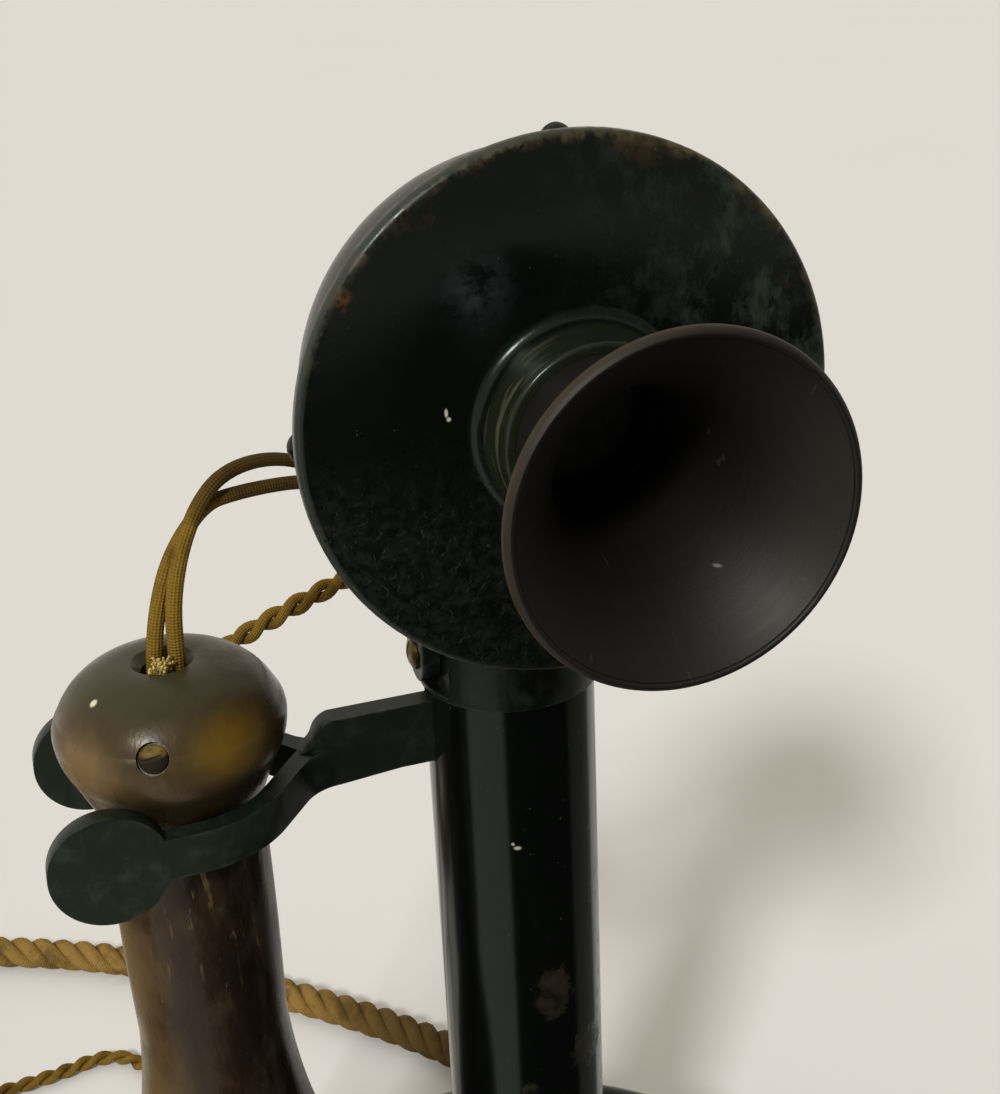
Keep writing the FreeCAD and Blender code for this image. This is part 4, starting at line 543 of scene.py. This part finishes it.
RECEIVER_ROUTE = [
    (-56.0, 0.0, 183.5), (-55.5, 0.0, 194.0), (-54.0, 0.4, 203.2), (-51.0, 1.8, 210.5),
    (-45.8, 4.5, 216.6), (-39.8, 7.8, 217.4), (-32.4, 11.6, 216.2), (-26.0, 14.9, 213.2),
    (-20.3, 17.0, 208.4), (-14.5, 16.0, 201.5), (-7.8, 13.5, 196.2), (0.2, 11.7, 194.0),
    (8.5, 12.5, 193.8), (15.3, 17.2, 193.3), (18.8, 24.7, 192.5), (18.0, 33.0, 191.4),
    (13.3, 39.8, 190.1), (5.8, 43.3, 188.6), (-2.5, 42.6, 186.8), (-11.0, 41.2, 184.3),
    (-19.5, 40.3, 181.5), (-31.5, 40.0, 177.2), (-43.0, 42.0, 171.0), (-50.0, 44.6, 162.5),
    (-53.4, 46.6, 151.0), (-54.6, 48.2, 135.0), (-55.2, 49.6, 112.0), (-55.6, 51.0, 86.0),
    (-56.0, 53.0, 60.0), (-56.5, 56.5, 36.0), (-57.2, 63.5, 17.5), (-58.4, 75.0, 6.4),
    (-60.0, 90.0, 2.5), (-61.8, 106.0, 2.3), (-63.6, 121.0, 2.3), (-66.4, 132.6, 2.3),
    (-71.8, 140.4, 2.3), (-79.8, 142.8, 2.3), (-88.8, 140.4, 2.3), (-98.5, 139.2, 2.3), (-109.0, 138.2, 2.3),
    (-118.0, 132.0, 2.3), (-120.5, 120.0, 2.3), (-118.0, 105.0, 2.3), (-111.0, 90.0, 2.3),
    (-101.5, 75.5, 2.3), (-91.0, 62.5, 2.4), (-81.0, 52.0, 4.3), (-72.5, 44.0, 8.6),
]
LINE_ROUTE = [
    (16.6, 78.0, 12.2), (18.2, 93.0, 8.4), (12.0, 108.5, 5.0), (-5.5, 128.5, 4.6), (-25.0, 147.0, 4.6),
    (-46.0, 164.5, 4.6), (-67.5, 180.0, 4.6), (-87.0, 190.8, 4.6), (-106.5, 199.7, 4.6),
    (-127.0, 207.9, 4.6), (-148.0, 215.5, 4.6),
]
BASE_RADIUS = 67.0
BUSH_INSIDE = 4.2
BUSH_LIP = 2.2
LINE_BUSH = (78, 12.4)
RECEIVER_BUSH = (149, 10.0)

COIL_CENTRE = (-190.0, 172.0)
COIL_START_ANGLE = 70
COIL_TURNS = 2
COIL_CLIMB = 0.5
COIL_MID_RADIUS = 45.0
COIL_STEP = 9.6
COIL_LOW = 4.6
COIL_POINTS = 16
CORD_DIAMETER = 9.0
TIE_ANGLE = 340
TIE_MIDDLE = (42.6, 9.6)
TIE_HALF = (9.7, 9.3)
TIE_SQUARENESS = 0.55
TIE_THICK = 0.35
TIE_WIDTH = 7.0
TIE_LENGTH = 60.0
TIE_POINTS = 48

SPLINE_STEPS = 24
EASE = 9
FIRST_SIDE = (0.31, -0.52, 0.79)
RECEIVER_STEP = 0.8
RECEIVER_LAY = 10.5
RECEIVER_LOWEST = 1.05
RECEIVER_SIDE = (-0.948, 0.3157, 0.041)
RECEIVER_GRIME = (-0.036, 0.010, 0.217)
FRAY_FIBRES = 40
FRAY_POINTS = 7
LINE_STEP = 1.2
LINE_LAY = 20
LINE_STRANDS = 3
LINE_STRAND_RADIUS = 2.12
LINE_STRAND_REACH = 2.35
LINE_LOWEST = 2.15
# The line cord's painted shadow near the stem.
PAINTED_SHADOW_BEND = (0.012, 0.100, 0.008)


def at_bush(bush, reach):
    angle, height = bush
    turn = math.radians(angle)
    return (reach * math.cos(turn), reach * math.sin(turn), height)


def coil_point(turn, widen=1.0):
    """The coil's middle line: in on the lower layer, up in half a turn, and out on the upper one."""
    reversal = COIL_TURNS + COIL_CLIMB / 2
    climb = min(max((turn - COIL_TURNS) / COIL_CLIMB, 0), 1)
    outer = COIL_MID_RADIUS + COIL_STEP * COIL_TURNS / 2
    radius = (outer - COIL_STEP * (reversal - abs(reversal - turn))) * widen
    angle = math.radians(COIL_START_ANGLE) + 2 * math.pi * turn
    east, north = COIL_CENTRE
    return np.array([east + radius * math.cos(angle), north + radius * math.sin(angle),
                     COIL_LOW + COIL_STEP * climb * climb * (3 - 2 * climb)])


def coil_points():
    """Control points of the coil, set out so that the spline inside them has the coil's radius."""
    count = round((2 * COIL_TURNS + COIL_CLIMB) * COIL_POINTS)
    widen = 1 / math.cos(math.pi / COIL_POINTS)
    small = 0.01
    first, last = coil_point(0), coil_point(count / COIL_POINTS)
    leaving = coil_point(small) - coil_point(-small)
    arriving = coil_point(count / COIL_POINTS + small) - coil_point(count / COIL_POINTS - small)
    start = first - leaving / np.linalg.norm(leaving) * CORD_DIAMETER
    end = last + arriving / np.linalg.norm(arriving) * CORD_DIAMETER
    turns = [coil_point(index / COIL_POINTS, widen) for index in range(1, count)]
    return [start, first, *turns, last, end]


def centreline(name, points, step):
    """Even points along the smooth spline of a route, in metres."""
    curve = bpy.data.curves.new(name, "CURVE")
    curve.dimensions = "3D"
    curve.resolution_u = SPLINE_STEPS
    spline = curve.splines.new("NURBS")
    spline.points.add(len(points) - 1)
    for control, point in zip(spline.points, points):
        control.co = (*(float(value) * MM for value in point), 1.0)
    spline.order_u = 3
    spline.use_endpoint_u = True
    holder = bpy.data.objects.new(name, curve)
    mesh = bpy.data.meshes.new_from_object(holder)
    line = np.array([vertex.co for vertex in mesh.vertices])
    bpy.data.objects.remove(holder)
    bpy.data.meshes.remove(mesh)
    bpy.data.curves.remove(curve)
    lengths = np.concatenate([[0], np.cumsum(np.linalg.norm(np.diff(line, axis=0), axis=1))])
    even = np.linspace(0, lengths[-1], round(lengths[-1] / step) + 1)
    return np.column_stack([np.interp(even, lengths, line[:, axis]) for axis in range(3)]), even


def frames(line, first):
    """Two directions across a line that turn with it as little as they can."""
    tangents = np.gradient(line, axis=0)
    tangents /= np.linalg.norm(tangents, axis=1)[:, None]
    sides = np.zeros_like(line)
    side = np.array(first, float)
    for index, tangent in enumerate(tangents):
        side = side - tangent * side.dot(tangent)
        side /= np.linalg.norm(side)
        sides[index] = side
    return sides, np.cross(tangents, sides)


def woven(name, vertices, faces, places, material):
    """A piece whose UVs run around and along its weave."""
    mesh = bpy.data.meshes.new(name)
    mesh.from_pydata([tuple(vertex) for vertex in vertices], [], faces)
    layer = mesh.uv_layers.new(name="along")
    layer.data.foreach_set("uv", np.array(places, np.float32).ravel())
    mesh.materials.append(material)
    return link(bpy.data.objects.new(name, mesh))


def tubes(name, lines, radius, sides, material):
    """One mesh of round tubes with closed ends; its UVs run around and along each tube."""
    vertices = []
    faces = []
    places = []
    for line in lines:
        side, other = frames(line, FIRST_SIDE)
        lengths = np.concatenate([[0], np.cumsum(np.linalg.norm(np.diff(line, axis=0), axis=1))])
        base = len(vertices)
        angles = np.linspace(0, 2 * math.pi, sides, endpoint=False)
        reach = np.broadcast_to(radius, len(line))
        for point, along, across, size in zip(line, side, other, reach):
            vertices += [point + (along * math.cos(a) + across * math.sin(a)) * size for a in angles]
        for ring in range(len(line) - 1):
            for index in range(sides):
                following = (index + 1) % sides
                low = base + ring * sides
                faces.append((low + index, low + following, low + sides + following, low + sides + index))
                places += [(index / sides, lengths[ring]), ((index + 1) / sides, lengths[ring]),
                           ((index + 1) / sides, lengths[ring + 1]), (index / sides, lengths[ring + 1])]
        end = base + (len(line) - 1) * sides
        for cap in (tuple(range(base, base + sides))[::-1], tuple(range(end, end + sides))):
            faces.append(cap)
            places += [(0.0, 0.0)] * sides
    item = woven(name, vertices, faces, places, material)
    item.data.polygons.foreach_set("use_smooth", np.ones(len(faces), bool))
    return item


def strands(line, even, count, apart, turns, first):
    """The middle lines of strands twisted about a line; turns and apart follow its length."""
    side, other = frames(line, first)
    angle = 2 * math.pi * turns
    reach = np.broadcast_to(apart, even.shape)[:, None]
    lines = []
    for index in range(count):
        phase = (angle + 2 * math.pi * index / count)[:, None]
        lines.append(line + (side * np.cos(phase) + other * np.sin(phase)) * reach)
    return lines


def follow(even, places, values):
    """Values given at places along a line, eased between them."""
    sharp = np.interp(even, places, values)
    return np.convolve(np.pad(sharp, EASE // 2, "edge"), np.ones(EASE) / EASE, "valid")


def make_receiver_cord():
    """Two strands: thick and parted where they leave the knob, crossing once, then tightly twisted."""
    points = [*RECEIVER_ROUTE, at_bush(RECEIVER_BUSH, BASE_RADIUS + BUSH_INSIDE + BUSH_LIP),
              at_bush(RECEIVER_BUSH, BASE_RADIUS - BUSH_INSIDE)]
    line, even = centreline("receiver_route", points, RECEIVER_STEP * MM)
    end = even[-1]
    lay = RECEIVER_LAY * MM
    turns = follow(even, [0, 0.011, 0.020, 0.033, 0.043, 0.056, 0.080, 0.105, end],
                   [0, -0.02, -0.09, -0.25, -0.42, -0.50, -0.62, -0.95, -0.95 - (end - 0.105) / lay])
    apart = follow(even, [0, 0.007, 0.013, 0.019, 0.027, 0.034, 0.041, 0.048, 0.056, 0.072, 0.092, end],
                   np.array([1.55, 1.9, 1.65, 1.35, 1.4, 1.35, 1.9, 2.2, 1.9, 1.4, 1.05, 0.95]) * MM)
    thick = follow(even, [0, 0.026, 0.044, 0.100, end], np.array([1.38, 1.35, 1.15, 1.00, 1.00]) * MM)
    paint = braid("receiver_braid", 7, (0.068, 0.035, 0.002), (0.310, 0.180, 0.018), 1000,
                  RECEIVER_GRIME, 0.017)
    lines = strands(line, even, 2, apart, turns, RECEIVER_SIDE)
    for strand in lines:
        strand[:, 2] = np.maximum(strand[:, 2], RECEIVER_LOWEST * MM)
    cord = tubes("receiver_cord_strands", lines, thick, 10, paint)
    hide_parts("receiver_cord")
    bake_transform(cord)


def make_fray():
    """A tuft of loose cotton in the receiver's cord hole."""
    fibres = []
    rise = np.linspace(0, 1, FRAY_POINTS)[:, None]
    for index in range(FRAY_FIBRES):
        share = index / (FRAY_FIBRES - 1)
        swing = 2.4 * index
        foot = np.array([-56.6 + 0.8 * math.cos(swing) * share, -2.5 + 0.6 * math.sin(swing), 190.6])
        lean = np.array([0.7 * math.cos(swing), 0.5 * math.sin(swing) - 0.3,
                         3.6 - 1.0 * share + 0.5 * math.sin(5 * swing)])
        curl = np.array([0.9 * math.sin(3 * swing), 0.8 * math.cos(4 * swing) - 0.4, -0.4 * share])
        fibres.append((foot + lean * rise + curl * rise ** 2) * MM)
    wisp = tubes("receiver_cord_fray", fibres, np.linspace(0.34, 0.20, FRAY_POINTS) * MM, 6,
                 braid("frayed_cotton", 3, (0.46, 0.300, 0.045), (0.82, 0.640, 0.220), 1600))
    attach(wisp, "receiver")


def make_tie():
    """A tape round the coil's bundle."""
    turn = math.radians(TIE_ANGLE)
    out = np.array([math.cos(turn), math.sin(turn), 0.0])
    side = np.array([-math.sin(turn), math.cos(turn), 0.0])
    centre = np.array([*COIL_CENTRE, 0.0]) + out * TIE_MIDDLE[0] + np.array([0, 0, TIE_MIDDLE[1]])
    ring = []
    for index in range(TIE_POINTS):
        angle = 2 * math.pi * index / TIE_POINTS
        shape = [math.copysign(abs(f(angle)) ** TIE_SQUARENESS, f(angle)) for f in (math.cos, math.sin)]
        ring.append((shape[0] * TIE_HALF[0], shape[1] * TIE_HALF[1]))
    outline = [(-0.5, 0.0), (-0.36, 1.0), (0.36, 1.0), (0.5, 0.0)]
    corners = len(outline)
    vertices = []
    for across, up in ring:
        grow = TIE_THICK / math.hypot(across, up)
        for wide, proud in outline:
            spread = out * across * (1 + grow * proud) + np.array([0, 0, up * (1 + grow * proud)])
            vertices.append((centre + spread + side * wide * TIE_WIDTH) * MM)
    faces = []
    places = []
    for index in range(TIE_POINTS):
        here = index * corners
        there = (index + 1) % TIE_POINTS * corners
        first, last = (place / TIE_POINTS * TIE_LENGTH * MM for place in (index, index + 1))
        for edge in range(corners):
            beside = (edge + 1) % corners
            faces.append((here + edge, there + edge, there + beside, here + beside))
            left, right = edge / corners, (edge + 1) / corners
            places += [(left, first), (left, last), (right, last), (right, first)]
    tape = braid("tie_tape", 9, (0.105, 0.078, 0.040), (0.300, 0.240, 0.140), 700)
    tie = woven("coil_tie", vertices, faces, places, tape)
    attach(tie, "stand")
    return tie


def make_line_cord():
    """Three thick strands laid together, with the spare length coiled and tied."""
    points = [at_bush(LINE_BUSH, BASE_RADIUS - BUSH_INSIDE), *LINE_ROUTE, *coil_points()]
    line, even = centreline("line_route", points, LINE_STEP * MM)
    paint = braid("line_braid", 11, (0.090, 0.050, 0.009), (0.430, 0.258, 0.062), 850, PAINTED_SHADOW_BEND, 0.062)
    lines = strands(line, even, LINE_STRANDS, LINE_STRAND_REACH * MM, even / (LINE_LAY * MM), (1, 0, 0))
    for strand in lines:
        strand[:, 2] = np.maximum(strand[:, 2], LINE_LOWEST * MM)
    cord = tubes("line_cord_strands", lines, LINE_STRAND_RADIUS * MM, 12, paint)
    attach(cord, "stand")
    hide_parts("line_cord", "line_cord_coil")
    make_tie()


# Solids

SHARP = ("hook_lever", "stem_cap", "transmitter_yoke")
WELD_REACH = 1e-6
EASED_WIDTH = 0.45
EASED_ANGLE = 35


def dress(materials):
    """Gives every solid the material of its slot, and eases the sharp edges of the pressed metal."""
    for part in frame["record"]["subparts"]:
        paint = materials.get(part["material_slot"])
        if paint is not None:
            mesh = NODES[part["node"]].data
            mesh.materials.clear()
            mesh.materials.append(paint)
    screw = NODES["receiver_tail_screw"].data
    screw.materials.clear()
    screw.materials.append(tail_brass())
    for name in SHARP:
        weld = NODES[name].modifiers.new("weld", "WELD")
        weld.merge_threshold = WELD_REACH
        bevel = NODES[name].modifiers.new("bevel", "BEVEL")
        bevel.width = EASED_WIDTH * MM
        bevel.segments = 2
        bevel.angle_limit = math.radians(EASED_ANGLE)
        bevel.harden_normals = True


make_camera()
make_stage()
dress(make_materials())
make_receiver_cord()
make_fray()
make_line_cord()
